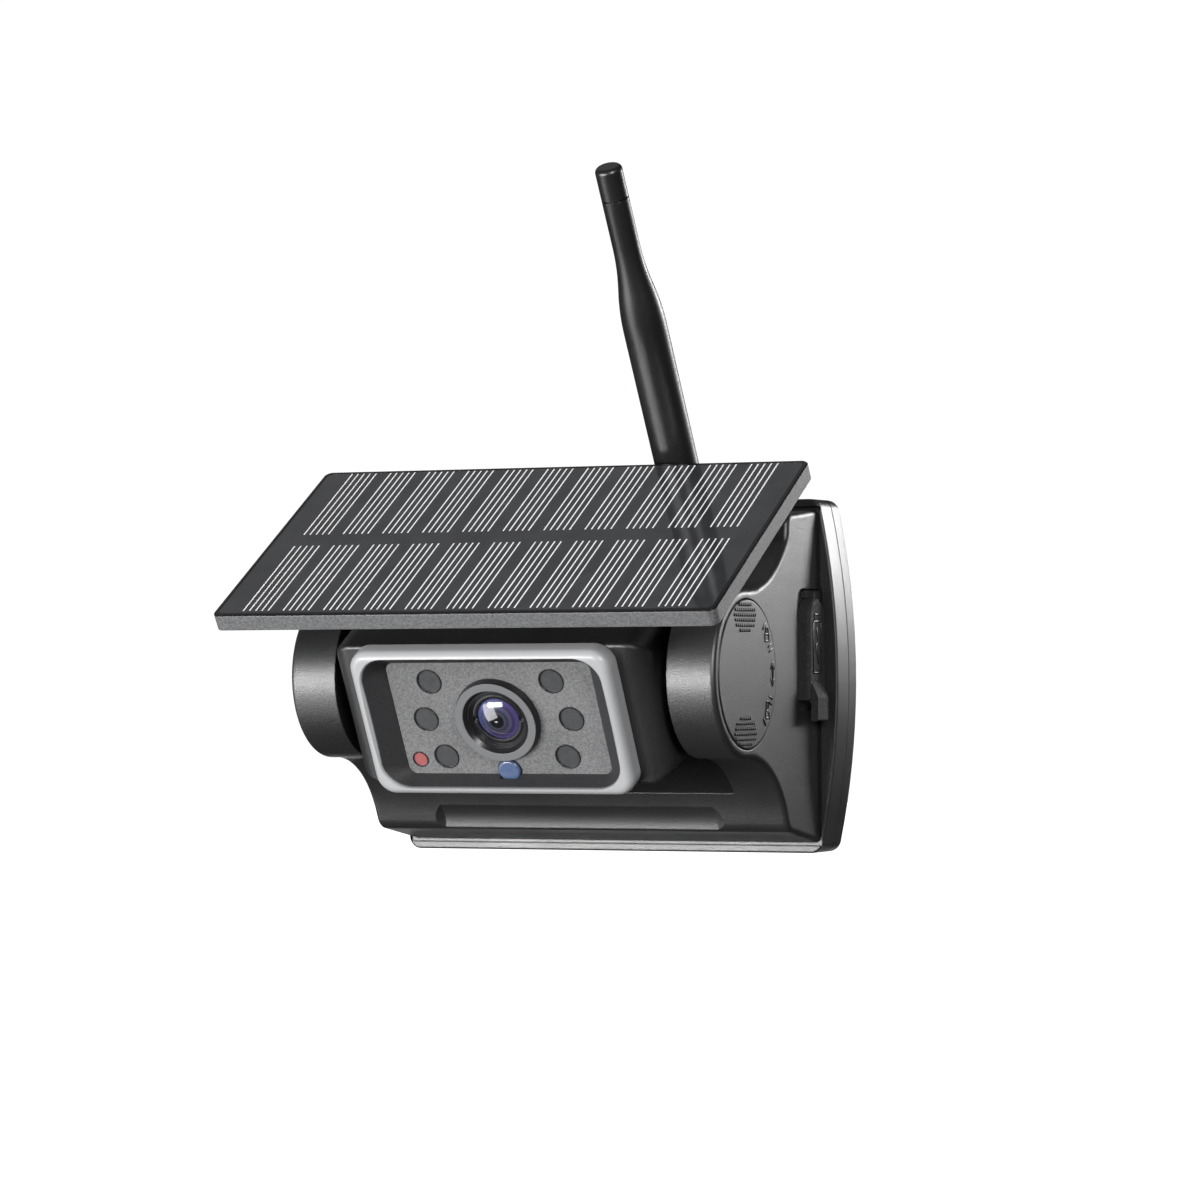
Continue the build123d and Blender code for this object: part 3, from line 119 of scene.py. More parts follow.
# --- shader maths
class Number:
    """A value that varies over a surface, so that shader maths reads as Python."""

    def __init__(self, table: "NodeTable", socket: Socket) -> None:
        """Wraps one output socket of a node table."""
        self.table = table
        self.socket = socket

    def __add__(self, other: "Number | float") -> "Number":
        """Sum of two values."""
        return self.table.maths("ADD", self, other)

    __radd__ = __add__

    def __sub__(self, other: "Number | float") -> "Number":
        """Difference of two values."""
        return self.table.maths("SUBTRACT", self, other)

    def __rsub__(self, other: float) -> "Number":
        """A plain number less this value."""
        return self.table.maths("SUBTRACT", other, self)

    def __mul__(self, other: "Number | float") -> "Number":
        """Product of two values."""
        return self.table.maths("MULTIPLY", self, other)

    __rmul__ = __mul__

    def __truediv__(self, other: "Number | float") -> "Number":
        """This value divided by another."""
        return self.table.maths("DIVIDE", self, other)

    def __mod__(self, other: float) -> "Number":
        """Remainder, always positive."""
        return self.table.maths("FLOORED_MODULO", self, other)

    def __abs__(self) -> "Number":
        """Size without its sign."""
        return self.table.maths("ABSOLUTE", self)

    def __lt__(self, other: "Number | float") -> "Number":
        """One where this value is smaller, else zero."""
        return self.table.maths("LESS_THAN", self, other)

    def __gt__(self, other: "Number | float") -> "Number":
        """One where this value is larger, else zero."""
        return self.table.maths("GREATER_THAN", self, other)

    def highest(self, other: "Number | float") -> "Number":
        """The larger of two values."""
        return self.table.maths("MAXIMUM", self, other)

    def root(self) -> "Number":
        """Square root."""
        return self.table.maths("SQRT", self)

    def ramp(self, low: float, high: float) -> "Number":
        """Rises smoothly from 0 at low to 1 at high."""
        node = self.table.node(
            "ShaderNodeMapRange",
            {"interpolation_type": "SMOOTHSTEP"},
            {"Value": self, "From Min": low, "From Max": high},
        )
        return Number(self.table, node.outputs["Result"])


class NodeTable:
    """The nodes of one material, or of the world."""

    def __init__(self, owner: bpy.types.Material | bpy.types.World) -> None:
        """Empties the owner's node tree.

        Args:
            owner: the material or world that the nodes belong to.
        """
        self.owner = owner
        owner.use_nodes = True
        self.tree = owner.node_tree
        self.tree.nodes.clear()

    @classmethod
    def named(cls, name: str) -> "NodeTable":
        """Starts an empty material of this name."""
        return cls(bpy.data.materials.new(name))

    def node(
        self,
        kind: str,
        settings: dict[str, Any] | None = None,
        values: dict[str | int, Any] | None = None,
    ) -> bpy.types.Node:
        """Adds a node.

        Args:
            kind: Blender's node type.
            settings: properties that are set first; "stops" are a colour ramp's.
            values: what each input socket holds, or what is linked to it.

        Returns:
            The new node.
        """
        node = self.tree.nodes.new(kind)
        for key, value in (settings or {}).items():
            if key == "stops":
                self._set_stops(node, value)
            else:
                setattr(node, key, value)
        for key, value in (values or {}).items():
            socket = node.inputs[key]
            if isinstance(value, Number):
                self.tree.links.new(value.socket, socket)
            elif isinstance(value, Socket):
                self.tree.links.new(value, socket)
            elif isinstance(value, tuple) and len(value) == 3 and socket.type == "RGBA":
                socket.default_value = (*value, 1.0)
            else:
                socket.default_value = value
        return node

    @staticmethod
    def _set_stops(node: bpy.types.Node, stops: Sequence[tuple[float, Colour]]) -> None:
        """Gives a colour ramp its stops.

        Args:
            node: the colour ramp.
            stops: the place and colour of each.
        """
        elements = node.color_ramp.elements
        while len(elements) < len(stops):
            elements.new(0.5)
        for element, (place, colour) in zip(elements, stops):
            element.position = place
            element.color = (*colour, 1.0)

    def maths(self, operation: str, *values: "Number | float") -> Number:
        """Adds a Math node and returns its result."""
        node = self.node("ShaderNodeMath", {"operation": operation}, dict(enumerate(values)))
        return Number(self, node.outputs[0])

    def point(self) -> Socket:
        """Place on the piece, in metres, in the shared frame."""
        return self.node("ShaderNodeTexCoord").outputs["Object"]

    def along(self, direction: Vector, origin: Vector) -> Number:
        """Distance from a plane, in millimetres.

        Args:
            direction: unit normal of the plane.
            origin: a point on it.

        Returns:
            The signed distance of each surface point.
        """
        offset = self.node(
            "ShaderNodeVectorMath",
            {"operation": "SUBTRACT"},
            {0: self.point(), 1: tuple(origin)},
        )
        scaled = tuple(direction / MM)
        dot = self.node(
            "ShaderNodeVectorMath",
            {"operation": "DOT_PRODUCT"},
            {0: offset.outputs["Vector"], 1: scaled},
        )
        return Number(self, dot.outputs["Value"])

    def noise(
        self,
        size_mm: float,
        detail: float = 2.0,
        stretch: Colour = (1.0, 1.0, 1.0),
    ) -> Number:
        """Random grain, from 0 to 1.

        Args:
            size_mm: about how large a grain is.
            detail: how many finer layers it has.
            stretch: how much faster it varies along each axis.

        Returns:
            The grain.
        """
        place = self.node("ShaderNodeMapping", {}, {"Vector": self.point(), "Scale": stretch})
        node = self.node(
            "ShaderNodeTexNoise",
            {},
            {
                "Vector": place.outputs["Vector"],
                "Scale": 1.0 / (size_mm * MM),
                "Detail": detail,
                "Roughness": 0.6,
            },
        )
        return Number(self, node.outputs["Fac"])

    def cells(self, size_mm: float) -> Number:
        """Distance to the nearest of many scattered points, from 0."""
        node = self.node(
            "ShaderNodeTexVoronoi",
            {},
            {"Vector": self.point(), "Scale": 1.0 / (size_mm * MM)},
        )
        return Number(self, node.outputs["Distance"])

    def shaded(
        self, grain: Number, colour: Colour, dark: float, low: float = 0.3, high: float = 0.7
    ) -> Socket:
        """A colour that grain darkens in places.

        Args:
            grain: random grain, darkest where it is lowest.
            colour: the lightest shade.
            dark: share of the colour left at the darkest.
            low: grain at which it is darkest.
            high: grain at which it is lightest.

        Returns:
            The shaded colour.
        """
        return self.blend(grain.ramp(low, high), scaled(colour, dark), colour)

    def blend(self, mask: Number, low: Colour | Socket, high: Colour | Socket) -> Socket:
        """Mixes two colours.

        Args:
            mask: 0 for the first colour, 1 for the second.
            low: first colour.
            high: second colour.

        Returns:
            The mixed colour.
        """
        node = self.node("ShaderNodeMix", {"data_type": "RGBA"}, {"Factor": mask, 6: low, 7: high})
        return node.outputs[2]

    def bump(self, height: Number, depth_mm: float, edge_mm: float = 0.0) -> Socket:
        """Turns a height into a normal.

        Args:
            height: from 0 to 1.
            depth_mm: how deep the relief is.
            edge_mm: radius at which sharp edges are softened, or 0.

        Returns:
            The normal.
        """
        values: dict[str | int, Any] = {
            "Height": height,
            "Distance": depth_mm * MM,
            "Strength": 1.0,
        }
        if edge_mm:
            edge = self.node("ShaderNodeBevel", {"samples": 4}, {"Radius": edge_mm * MM})
            values["Normal"] = edge.outputs["Normal"]
        return self.node("ShaderNodeBump", {}, values).outputs["Normal"]

    def paint(self, **sockets: Any) -> bpy.types.Material:
        """Ends the material in one Principled shader.

        Args:
            sockets: its inputs, with underscores for spaces.

        Returns:
            The finished material.
        """
        values = {key.replace("_", " "): value for key, value in sockets.items()}
        shader = self.node("ShaderNodeBsdfPrincipled", {}, values)
        self.node("ShaderNodeOutputMaterial", {}, {"Surface": shader.outputs["BSDF"]})
        return self.owner


# --- places
@dataclass(frozen=True)
class Tilted:
    """A flat working frame, with its own x, y and outward z."""

    origin: Vector
    x_axis: Vector
    z_axis: Vector

    @property
    def y_axis(self) -> Vector:
        """Direction across the x axis, in the working plane."""
        return self.z_axis.cross(self.x_axis)

    def at(self, x_mm: float = 0.0, y_mm: float = 0.0, z_mm: float = 0.0) -> Matrix:
        """A place in this frame.

        Args:
            x_mm: how far along the x axis.
            y_mm: how far along the y axis.
            z_mm: how far out.

        Returns:
            The matrix that puts a piece's own origin there.
        """
        x, y, z = self.x_axis, self.y_axis, self.z_axis
        place = self.origin + (x * x_mm + y * y_mm + z * z_mm) * MM
        return placed(x, y, z, place)


X_AXIS = Vector((1, 0, 0))
Y_AXIS = Vector((0, 1, 0))


# --- finishes
@dataclass(frozen=True)
class Finish(ABC):
    """How a surface looks."""

    name: str

    def material(self) -> bpy.types.Material:
        """Builds the material."""
        table = NodeTable.named(self.name)
        return table.paint(**self.sockets(table))

    @abstractmethod
    def sockets(self, table: NodeTable) -> dict[str, Any]:
        """The shader's inputs.

        Args:
            table: nodes of the material, to add to.

        Returns:
            The inputs by name, with underscores for spaces.
        """


@dataclass(frozen=True)
class MouldedPlastic(Finish):
    """Moulded plastic with a spark-eroded grain."""

    colour: Colour
    roughness: float = 0.5
    grain_mm: float = 0.3
    depth_mm: float = 0.02
    mottle: float = 0.25
    edge_mm: float = 0.25
    gloss: float = 0.5
    cloud_mm: float = 18.0

    def sockets(self, table: NodeTable) -> dict[str, Any]:
        """The shader's inputs."""
        fine = table.noise(self.grain_mm)
        broad = table.noise(self.cloud_mm, 1.0)
        darker = scaled(self.colour, 1 - self.mottle)
        lighter = scaled(self.colour, 1 + self.mottle)
        tone = (fine * 0.8 + broad * 0.2).ramp(0.3, 0.7)
        return dict(
            Base_Color=table.blend(tone, darker, lighter),
            Roughness=self.roughness + (broad - 0.5) * 0.12 + (fine - 0.5) * 0.1,
            Normal=table.bump(fine, self.depth_mm, self.edge_mm),
            Specular_IOR_Level=self.gloss,
        )


@dataclass(frozen=True)
class BezelPlastic(Finish):
    """Smooth satin rim round a dark, coarsely grained mouth."""

    rim: Colour
    mouth: Colour
    face: Tilted
    half_width_mm: float = 29.9
    half_height_mm: float = 16.65
    middle_mm: float = 1.05
    corner_mm: float = 6.5
    fade_mm: float = 0.35
    grain_mm: float = 0.35

    def sockets(self, table: NodeTable) -> dict[str, Any]:
        """The shader's inputs."""
        across = abs(table.along(self.face.x_axis, self.face.origin))
        upward = table.along(self.face.y_axis, self.face.origin)
        straight_x = self.half_width_mm - self.corner_mm
        straight_y = self.half_height_mm - self.corner_mm
        dx = (across - straight_x).highest(0.0)
        dy = (abs(upward - self.middle_mm) - straight_y).highest(0.0)
        from_centre = (dx * dx + dy * dy).root()
        rim = from_centre.ramp(self.corner_mm - self.fade_mm, self.corner_mm + 0.05)
        fine = table.noise(self.grain_mm)
        mouth = table.shaded(fine, self.mouth, 0.6, 0.35, 0.65)
        return dict(
            Base_Color=table.blend(rim, mouth, self.rim),
            Roughness=0.62 - rim * 0.27 + (fine - 0.5) * 0.08,
            Normal=table.bump(fine * (1 - rim), 0.09, 0.25),
        )


@dataclass(frozen=True)
class TrayPlastic(Finish):
    """Coarsely grained grey plastic with a polished black upper rim."""

    top: Tilted
    side: Colour = (0.13, 0.132, 0.135)
    rim: Colour = (0.006, 0.006, 0.007)
    rim_mm: float = 0.35

    def sockets(self, table: NodeTable) -> dict[str, Any]:
        """The shader's inputs."""
        above = table.along(self.top.z_axis, self.top.origin)
        rim = above.ramp(-self.rim_mm, -self.rim_mm * 0.5)
        grain = table.noise(0.5, 3.0)
        side = table.shaded(grain, self.side, 0.5)
        return dict(
            Base_Color=table.blend(rim, side, self.rim),
            Roughness=0.55 - rim * 0.35,
            Normal=table.bump(grain * (1 - rim), 0.12, 0.25),
        )


@dataclass(frozen=True)
class CellSheet(Finish):
    """Dark solar cells under a clear sheet, with printed silver fingers."""

    top: Tilted
    cell: Colour = (0.03, 0.031, 0.034)
    finger: Colour = (0.95, 0.95, 0.96)
    pitch_mm: float = 10.262
    fingers: int = 5
    finger_pitch_mm: float = 1.6
    finger_mm: float = 0.34
    groups: int = 11
    rows_mm: Pairs = ((1.9, 31.1), (36.3, 65.5))
    roughness: float = 0.06

    def sockets(self, table: NodeTable) -> dict[str, Any]:
        """The shader's inputs."""
        x = table.along(self.top.x_axis, self.top.origin)
        s = table.along(self.top.y_axis, self.top.origin)
        half_run = self.pitch_mm * self.groups / 2
        local = (x + half_run) % self.pitch_mm - self.pitch_mm / 2
        span = self.finger_pitch_mm * (self.fingers - 1) / 2 + self.finger_mm
        to_finger = abs(
            (local + self.finger_pitch_mm * (self.fingers / 2)) % self.finger_pitch_mm
            - self.finger_pitch_mm / 2
        )
        line = 1 - to_finger.ramp(self.finger_mm * 0.35, self.finger_mm * 0.65)
        row = 0.0
        for low, high in self.rows_mm:
            row = (s > low) * (s < high) + row
        mask = line * (abs(local) < span) * row * (abs(x) < half_run)
        cloud = table.noise(9.0, 3.0)
        wafer = table.blend(cloud.ramp(0.3, 0.7), scaled(self.cell, 0.82), scaled(self.cell, 1.15))
        return dict(
            Base_Color=table.blend(mask, wafer, self.finger),
            Roughness=0.5 + mask * 0.2,
            Specular_IOR_Level=0.1,
            Coat_Weight=1.0,
            Coat_Roughness=self.roughness,
            Coat_IOR=1.5,
        )


@dataclass(frozen=True)
class LensBlack(Finish):
    """Gloss black barrel plastic with a matt grey front annulus."""

    face: Tilted
    black: Colour = (0.01, 0.01, 0.011)
    grey: Colour = (0.12, 0.122, 0.126)
    front_mm: float = 22.9

    def sockets(self, table: NodeTable) -> dict[str, Any]:
        """The shader's inputs."""
        front = table.along(self.face.z_axis, self.face.origin).ramp(
            self.front_mm - 0.04, self.front_mm
        )
        grain = table.noise(0.2)
        black = table.shaded(grain, self.black, 0.8)
        return dict(
            Base_Color=table.blend(front, black, self.grey),
            Roughness=0.26 + front * 0.2 + (grain - 0.5) * 0.06,
            Normal=table.bump(grain, 0.003, 0.12),
        )


@dataclass(frozen=True)
class LensCoating(Finish):
    """Glass dome, shaded opaque, with painted reflections: rings paint the elements behind it and
    the blue and violet reflections of their anti-reflection coatings, and a painted blue glare
    lies over its upper left.
    """

    face: Tilted
    radius_mm: float = 5.55
    # colour of the painted blue reflection over the dome's upper left
    reflection_tint: Colour = (0.05, 0.09, 0.17)

    def sockets(self, table: NodeTable) -> dict[str, Any]:
        """The shader's inputs."""
        x = table.along(self.face.x_axis, self.face.origin)
        v = table.along(self.face.y_axis, self.face.origin)
        out = (x * x + v * v).root() / self.radius_mm
        # painted reflection: ring colours stand for the elements behind the glass and the violet
        # and blue reflections of their coatings
        rings = table.node(
            "ShaderNodeValToRGB",
            {
                "stops": [
                    (0.0, (0.004, 0.004, 0.006)),
                    (0.3, (0.005, 0.005, 0.008)),
                    (0.36, (0.05, 0.05, 0.07)),
                    (0.44, (0.02, 0.022, 0.035)),
                    (0.6, (0.06, 0.055, 0.1)),
                    (0.68, (0.025, 0.02, 0.06)),
                    (0.84, (0.07, 0.05, 0.16)),
                    (0.93, (0.03, 0.03, 0.12)),
                    (1.0, (0.006, 0.006, 0.012)),
                ]
            },
            {"Fac": out},
        )
        # painted reflection: a blue glare is blended in towards the dome's upper left, where a
        # soft light would be mirrored
        side = (x * -0.7 + v * 0.5).ramp(-4.0, 4.5)
        glare = 0.45 * out.ramp(0.3, 0.8) * side
        reflection_tint = table.blend(side, rings.outputs["Color"], self.reflection_tint)
        return dict(
            Base_Color=table.blend(glare, rings.outputs["Color"], reflection_tint),
            Roughness=0.12 + out * 0.02,
            Specular_IOR_Level=0.8,
            Coat_Weight=1.0,
            Coat_Roughness=0.02,
            Coat_IOR=1.8,
        )


@dataclass(frozen=True)
class TintedWindow(Finish):
    """Polished tinted window over a diode."""

    colour: Colour
    roughness: float = 0.22

    def sockets(self, table: NodeTable) -> dict[str, Any]:
        """The shader's inputs."""
        cloud = table.noise(1.6, 1.0)
        return dict(
            Base_Color=table.shaded(cloud, self.colour, 0.88),
            Roughness=self.roughness + (cloud - 0.5) * 0.08,
            Coat_Weight=0.4,
            Coat_Roughness=0.08,
        )


@dataclass(frozen=True)
class BareMetal(Finish):
    """Turned or plated metal with fine streaks."""

    colour: Colour
    roughness: float = 0.3
    stretch: Colour = (1.0, 12.0, 12.0)

    def sockets(self, table: NodeTable) -> dict[str, Any]:
        """The shader's inputs."""
        streak = table.noise(1.2, 3.0, self.stretch)
        return dict(
            Base_Color=table.shaded(streak, self.colour, 0.85),
            Metallic=1.0,
            Roughness=self.roughness + (streak - 0.5) * 0.2,
            Normal=table.bump(streak, 0.004),
        )


@dataclass(frozen=True)
class DimpledRubber(Finish):
    """Matt rubber covered in small dimples."""

    colour: Colour
    dimple_mm: float = 1.1

    def sockets(self, table: NodeTable) -> dict[str, Any]:
        """The shader's inputs."""
        dimples = table.cells(self.dimple_mm).ramp(0.15, 0.55)
        grain = table.noise(0.25)
        return dict(
            Base_Color=table.shaded(grain, self.colour, 0.75),
            Roughness=0.72 + dimples * 0.12,
            Normal=table.bump(dimples * 0.8 + grain * 0.2, 0.08),
        )


@dataclass(frozen=True)
class CircuitBoard(Finish):
    """Solder mask over copper tracks."""

    mask: Colour = (0.012, 0.09, 0.035)

    def sockets(self, table: NodeTable) -> dict[str, Any]:
        """The shader's inputs."""
        tracks = table.node(
            "ShaderNodeTexBrick",
            {},
            {
                "Vector": table.point(),
                "Scale": 220.0,
                "Mortar Size": 0.08,
                "Color1": (0.0, 0.0, 0.0),
                "Color2": (0.0, 0.0, 0.0),
                "Mortar": (1.0, 1.0, 1.0),
            },
        )
        line = Number(table, tracks.outputs["Fac"])
        light = scaled(self.mask, 1.9)
        return dict(
            Base_Color=table.blend(line, self.mask, light),
            Roughness=0.35 + line * 0.1,
            Normal=table.bump(line, 0.03),
            Coat_Weight=0.3,
        )


class Slot(Enum):
    """The record's material slots that new pieces take their finish from."""

    HOUSING = "housing_plastic"
    LENS_BLACK = "lens_black"
    STEEL = "steel"


class Wardrobe:
    """Every finish, by the record's slot name."""

    def __init__(self, face: Tilted, panel: Tilted) -> None:
        """Lists the finishes.

        Args:
            face: frame of the camera's face.
            panel: frame of the solar panel's top.
        """
        self.finishes: dict[str, Finish] = {
            finish.name: finish
            for finish in (
                MouldedPlastic(
                    "housing_plastic",
                    (0.014, 0.0142, 0.0148),
                    0.38,
                    0.32,
                    0.06,
                    edge_mm=0.4,
                    gloss=0.8,
                ),
                BezelPlastic("bezel_plastic", (0.32, 0.323, 0.33), (0.022, 0.022, 0.024), face),
                MouldedPlastic("face_plastic", (0.115, 0.116, 0.118), 0.55, 0.5, 0.05, 0.35),
                TrayPlastic("panel_plastic", panel),
                MouldedPlastic(
                    "antenna_plastic", (0.008, 0.008, 0.0085), 0.34, 0.2, 0.006, gloss=0.7
                ),
                DimpledRubber("rubber", (0.016, 0.016, 0.017)),
                MouldedPlastic("silicone", (0.045, 0.046, 0.048), 0.4, 0.3, 0.03, gloss=0.7),
                BareMetal("steel", (0.6, 0.6, 0.61)),
                BareMetal("magnet", (0.55, 0.55, 0.57), 0.2),
                TintedWindow("cell_wrap", (0.09, 0.05, 0.3), 0.35),
                MouldedPlastic("cradle_plastic", (0.02, 0.02, 0.021), 0.55),
                CircuitBoard("circuit_board"),
                MouldedPlastic("chip", (0.02, 0.02, 0.02), 0.45, 0.2, 0.006),
                BareMetal("shield", (0.7, 0.7, 0.72), 0.35),
                MouldedPlastic("cable_jacket", (0.018, 0.018, 0.018), 0.5, 0.3, 0.008),
                MouldedPlastic("bush_plastic", (0.6, 0.6, 0.57), 0.4, 0.3, 0.006, 0.06),
                MouldedPlastic("button_plastic", (0.035, 0.035, 0.037), 0.4, 0.25, 0.01),
                LensBlack("lens_black", face),
                LensCoating("lens_glass", face),
                TintedWindow("ir_window", (0.055, 0.056, 0.058)),
                TintedWindow("red_window", (0.3, 0.09, 0.09)),
                TintedWindow("blue_window", (0.07, 0.1, 0.19)),
                TintedWindow("led_epoxy", (0.5, 0.5, 0.48)),
                CellSheet("solar_cell", panel),
                CellSheet("panel_glass", panel),
                BareMetal("copper", (0.8, 0.42, 0.25), 0.3),
            )
        }
        self.made: dict[str, bpy.types.Material] = {}

    def material(self, slot: str) -> bpy.types.Material:
        """The material of a slot, made once.

        Args:
            slot: the slot's name in the record.

        Returns:
            The material.
        """
        if slot not in self.made:
            self.made[slot] = self.finishes[slot].material()
        return self.made[slot]

    def dress_frame(self, frame: dict[str, Any]) -> None:
        """Gives every CAD node the finish of its slot.

        Args:
            frame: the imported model.
        """
        for row in frame["record"]["subparts"]:
            node = frame["nodes"][row["node"]]
            node.data.materials.clear()
            node.data.materials.append(self.material(row["material_slot"]))


# --- modelling
class Domain(Enum):
    """What a selection picks."""

    FACES = "FACE"
    EDGES = "EDGE"


class Bench:
    """Modelling steps, done by Blender's own operators on one piece at a time."""

    @staticmethod
    def take(*objects: Piece) -> None:
        """Selects only these objects and makes the first one active.

        Args:
            objects: what to select, which may be nothing.
        """
        bpy.ops.object.select_all(action="DESELECT")
        for obj in objects:
            obj.select_set(True)
        if objects:
            bpy.context.view_layer.objects.active = objects[0]

    @classmethod
    def primitive(cls, name: str, add: Callable[..., Any], **sizes: Any) -> Piece:
        """Adds one of Blender's primitives and names it.

        Args:
            name: name of the piece.
            add: the operator that adds it.
            sizes: what the operator is given.

        Returns:
            The new piece.
        """
        cls.take()
        add(**sizes)
        obj = bpy.context.object
        obj.name = name
        obj.data.name = name
        cls.take(obj)
        bpy.ops.object.transform_apply(location=True, rotation=True, scale=True)
        return obj

    @classmethod
    def pick(cls, obj: Piece, domain: Domain, wanted: Callable[[Vector, Vector], bool]) -> None:
        """Selects faces or edges by place, and goes into edit mode.

        Args:
            obj: the piece.
            domain: faces or edges.
            wanted: told an element's middle, and its normal or direction.
        """
        cls.take(obj)
        bpy.ops.object.mode_set(mode="EDIT")
        bpy.ops.mesh.select_mode(type=domain.value)
        bpy.ops.mesh.select_all(action="DESELECT")
        bpy.ops.object.mode_set(mode="OBJECT")
        mesh = obj.data
        if domain is Domain.FACES:
            for face in mesh.polygons:
                face.select = wanted(face.center, face.normal)
        else:
            for edge in mesh.edges:
                a, b = (mesh.vertices[i].co for i in edge.vertices)
                edge.select = wanted((a + b) / 2, (b - a).normalized())
        bpy.ops.object.mode_set(mode="EDIT")

    @staticmethod
    def leave() -> None:
        """Goes back to object mode."""
        bpy.ops.object.mode_set(mode="OBJECT")

    @classmethod
    def modifier(cls, obj: Piece, kind: str, **settings: Any) -> None:
        """Adds a modifier and applies it.

        Args:
            obj: the piece.
            kind: Blender's modifier type.
            settings: the modifier's properties.
        """
        cls.take(obj)
        modifier = obj.modifiers.new(kind.title(), kind)
        for key, value in settings.items():
            setattr(modifier, key, value)
        bpy.ops.object.modifier_apply(modifier=modifier.name)

    @classmethod
    def ring(
        cls,
        name: str,
        inner_mm: float,
        outer_mm: float,
        height_mm: float,
        soften_mm: float = 0.0,
        sides: int = 48,
    ) -> Piece:
        """A flat ring that stands on its own origin.

        Args:
            name: name of the piece.
            inner_mm: inner radius.
            outer_mm: outer radius.
            height_mm: how high it stands.
            soften_mm: how much its edges are rounded, or 0.
            sides: how many sides the circle has.

        Returns:
            The ring.
        """
        obj = cls.primitive(
            name,
            bpy.ops.mesh.primitive_cylinder_add,
            vertices=sides,
            radius=inner_mm * MM,
            depth=height_mm * MM,
            end_fill_type="NOTHING",
            location=(0, 0, height_mm * MM / 2),
        )
        cls.modifier(
            obj, "SOLIDIFY", thickness=(outer_mm - inner_mm) * MM, offset=1.0, use_even_offset=True
        )
        if soften_mm:
            cls.soften(obj, soften_mm)
        return obj

    @classmethod
    def soften(cls, obj: Piece, width_mm: float, segments: int = 2) -> None:
        """Rounds the sharp edges."""
        cls.modifier(
            obj,
            "BEVEL",
            width=width_mm * MM,
            segments=segments,
            limit_method="ANGLE",
            angle_limit=math.radians(40),
        )

    @classmethod
    def bar(cls, name: str, start: Pair, end: Pair, width_mm: float, height_mm: float) -> Piece:
        """A raised stroke with sloping flanks.

        Args:
            name: name of the piece.
            start: one end, in millimetres.
            end: the other end.
            width_mm: its width.
            height_mm: how high it stands before its top is raised.

        Returns:
            The stroke.
        """
        run = Vector((end[0] - start[0], end[1] - start[1]))
        obj = cls.primitive(
            name,
            bpy.ops.mesh.primitive_cube_add,
            size=1.0,
            location=(0, 0, 0),
            scale=((run.length + width_mm) * MM, width_mm * MM, height_mm * MM),
        )
        cls.pick(obj, Domain.FACES, faces_up)
        bpy.ops.mesh.inset(thickness=width_mm * 0.25 * MM)
        bpy.ops.transform.translate(value=(0, 0, height_mm * 0.25 * MM))
        cls.leave()
        middle = Vector(((start[0] + end[0]) / 2, (start[1] + end[1]) / 2, height_mm / 2)) * MM
        turn = Matrix.Rotation(math.atan2(run.y, run.x), 4, "Z")
        cls.settle(obj, Matrix.Translation(middle) @ turn)
        return obj

    @classmethod
    def path(
        cls,
        name: str,
        points: Sequence[Pair],
        width_mm: float,
        height_mm: float,
    ) -> list[Piece]:
        """Raised strokes from each point to the next.

        Args:
            name: name of every stroke.
            points: corners of the path, in millimetres.
            width_mm: width of a stroke.
            height_mm: how high it stands.

        Returns:
            The strokes, in order.
        """
        pairs = zip(points, points[1:])
        return [cls.bar(name, start, end, width_mm, height_mm) for start, end in pairs]

    @classmethod
    def settle(cls, obj: Piece, matrix: Matrix) -> None:
        """Puts a piece in place and leaves its object at the origin.

        Args:
            obj: the piece.
            matrix: where it goes.
        """
        cls.take(obj)
        obj.matrix_world = matrix
        bpy.context.view_layer.update()
        bpy.ops.object.transform_apply(location=True, rotation=True, scale=True)

    @classmethod
    def repeat(cls, obj: Piece, places: Iterable[Matrix]) -> Piece:
        """Copies a modelled shape to each place and joins the copies.

        Args:
            obj: the shape, which is used up.
            places: where the copies go.

        Returns:
            One piece with the shape's name.
        """
        copies = []
        for place in places:
            copy = obj.copy()
            copy.data = obj.data.copy()
            bpy.context.scene.collection.objects.link(copy)
            cls.settle(copy, place)
            copies.append(copy)
        name = obj.name
        bpy.data.objects.remove(obj)
        return cls.joined(name, copies)

    @classmethod
    def joined(cls, name: str, objects: Sequence[Piece]) -> Piece:
        """Joins pieces into one.

        Args:
            name: name of the whole.
            objects: the pieces.

        Returns:
            The whole.
        """
        cls.take(*objects)
        if len(objects) > 1:
            bpy.ops.object.join()
        whole = objects[0]
        whole.name = name
        whole.data.name = name
        return whole

    @classmethod
    def hand_over(
        cls,
        obj: Piece,
        body: str,
        slot: Slot,
        wardrobe: Wardrobe,
        smooth_deg: float = 35.0,
    ) -> Piece:
        """Dresses a finished piece and lets it ride on its body.

        Args:
            obj: the piece.
            body: the body it moves with.
            slot: the slot its finish comes from.
            wardrobe: the finishes.
            smooth_deg: edges flatter than this are shaded smooth.

        Returns:
            The same piece.
        """
        cls.take(obj)
        bpy.ops.object.shade_smooth_by_angle(angle=math.radians(smooth_deg))
        obj.data.materials.clear()
        obj.data.materials.append(wardrobe.material(slot.value))
        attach(obj, body)
        LOG.info("%s rides on %s, %d faces", obj.name, body, len(obj.data.polygons))
        return obj


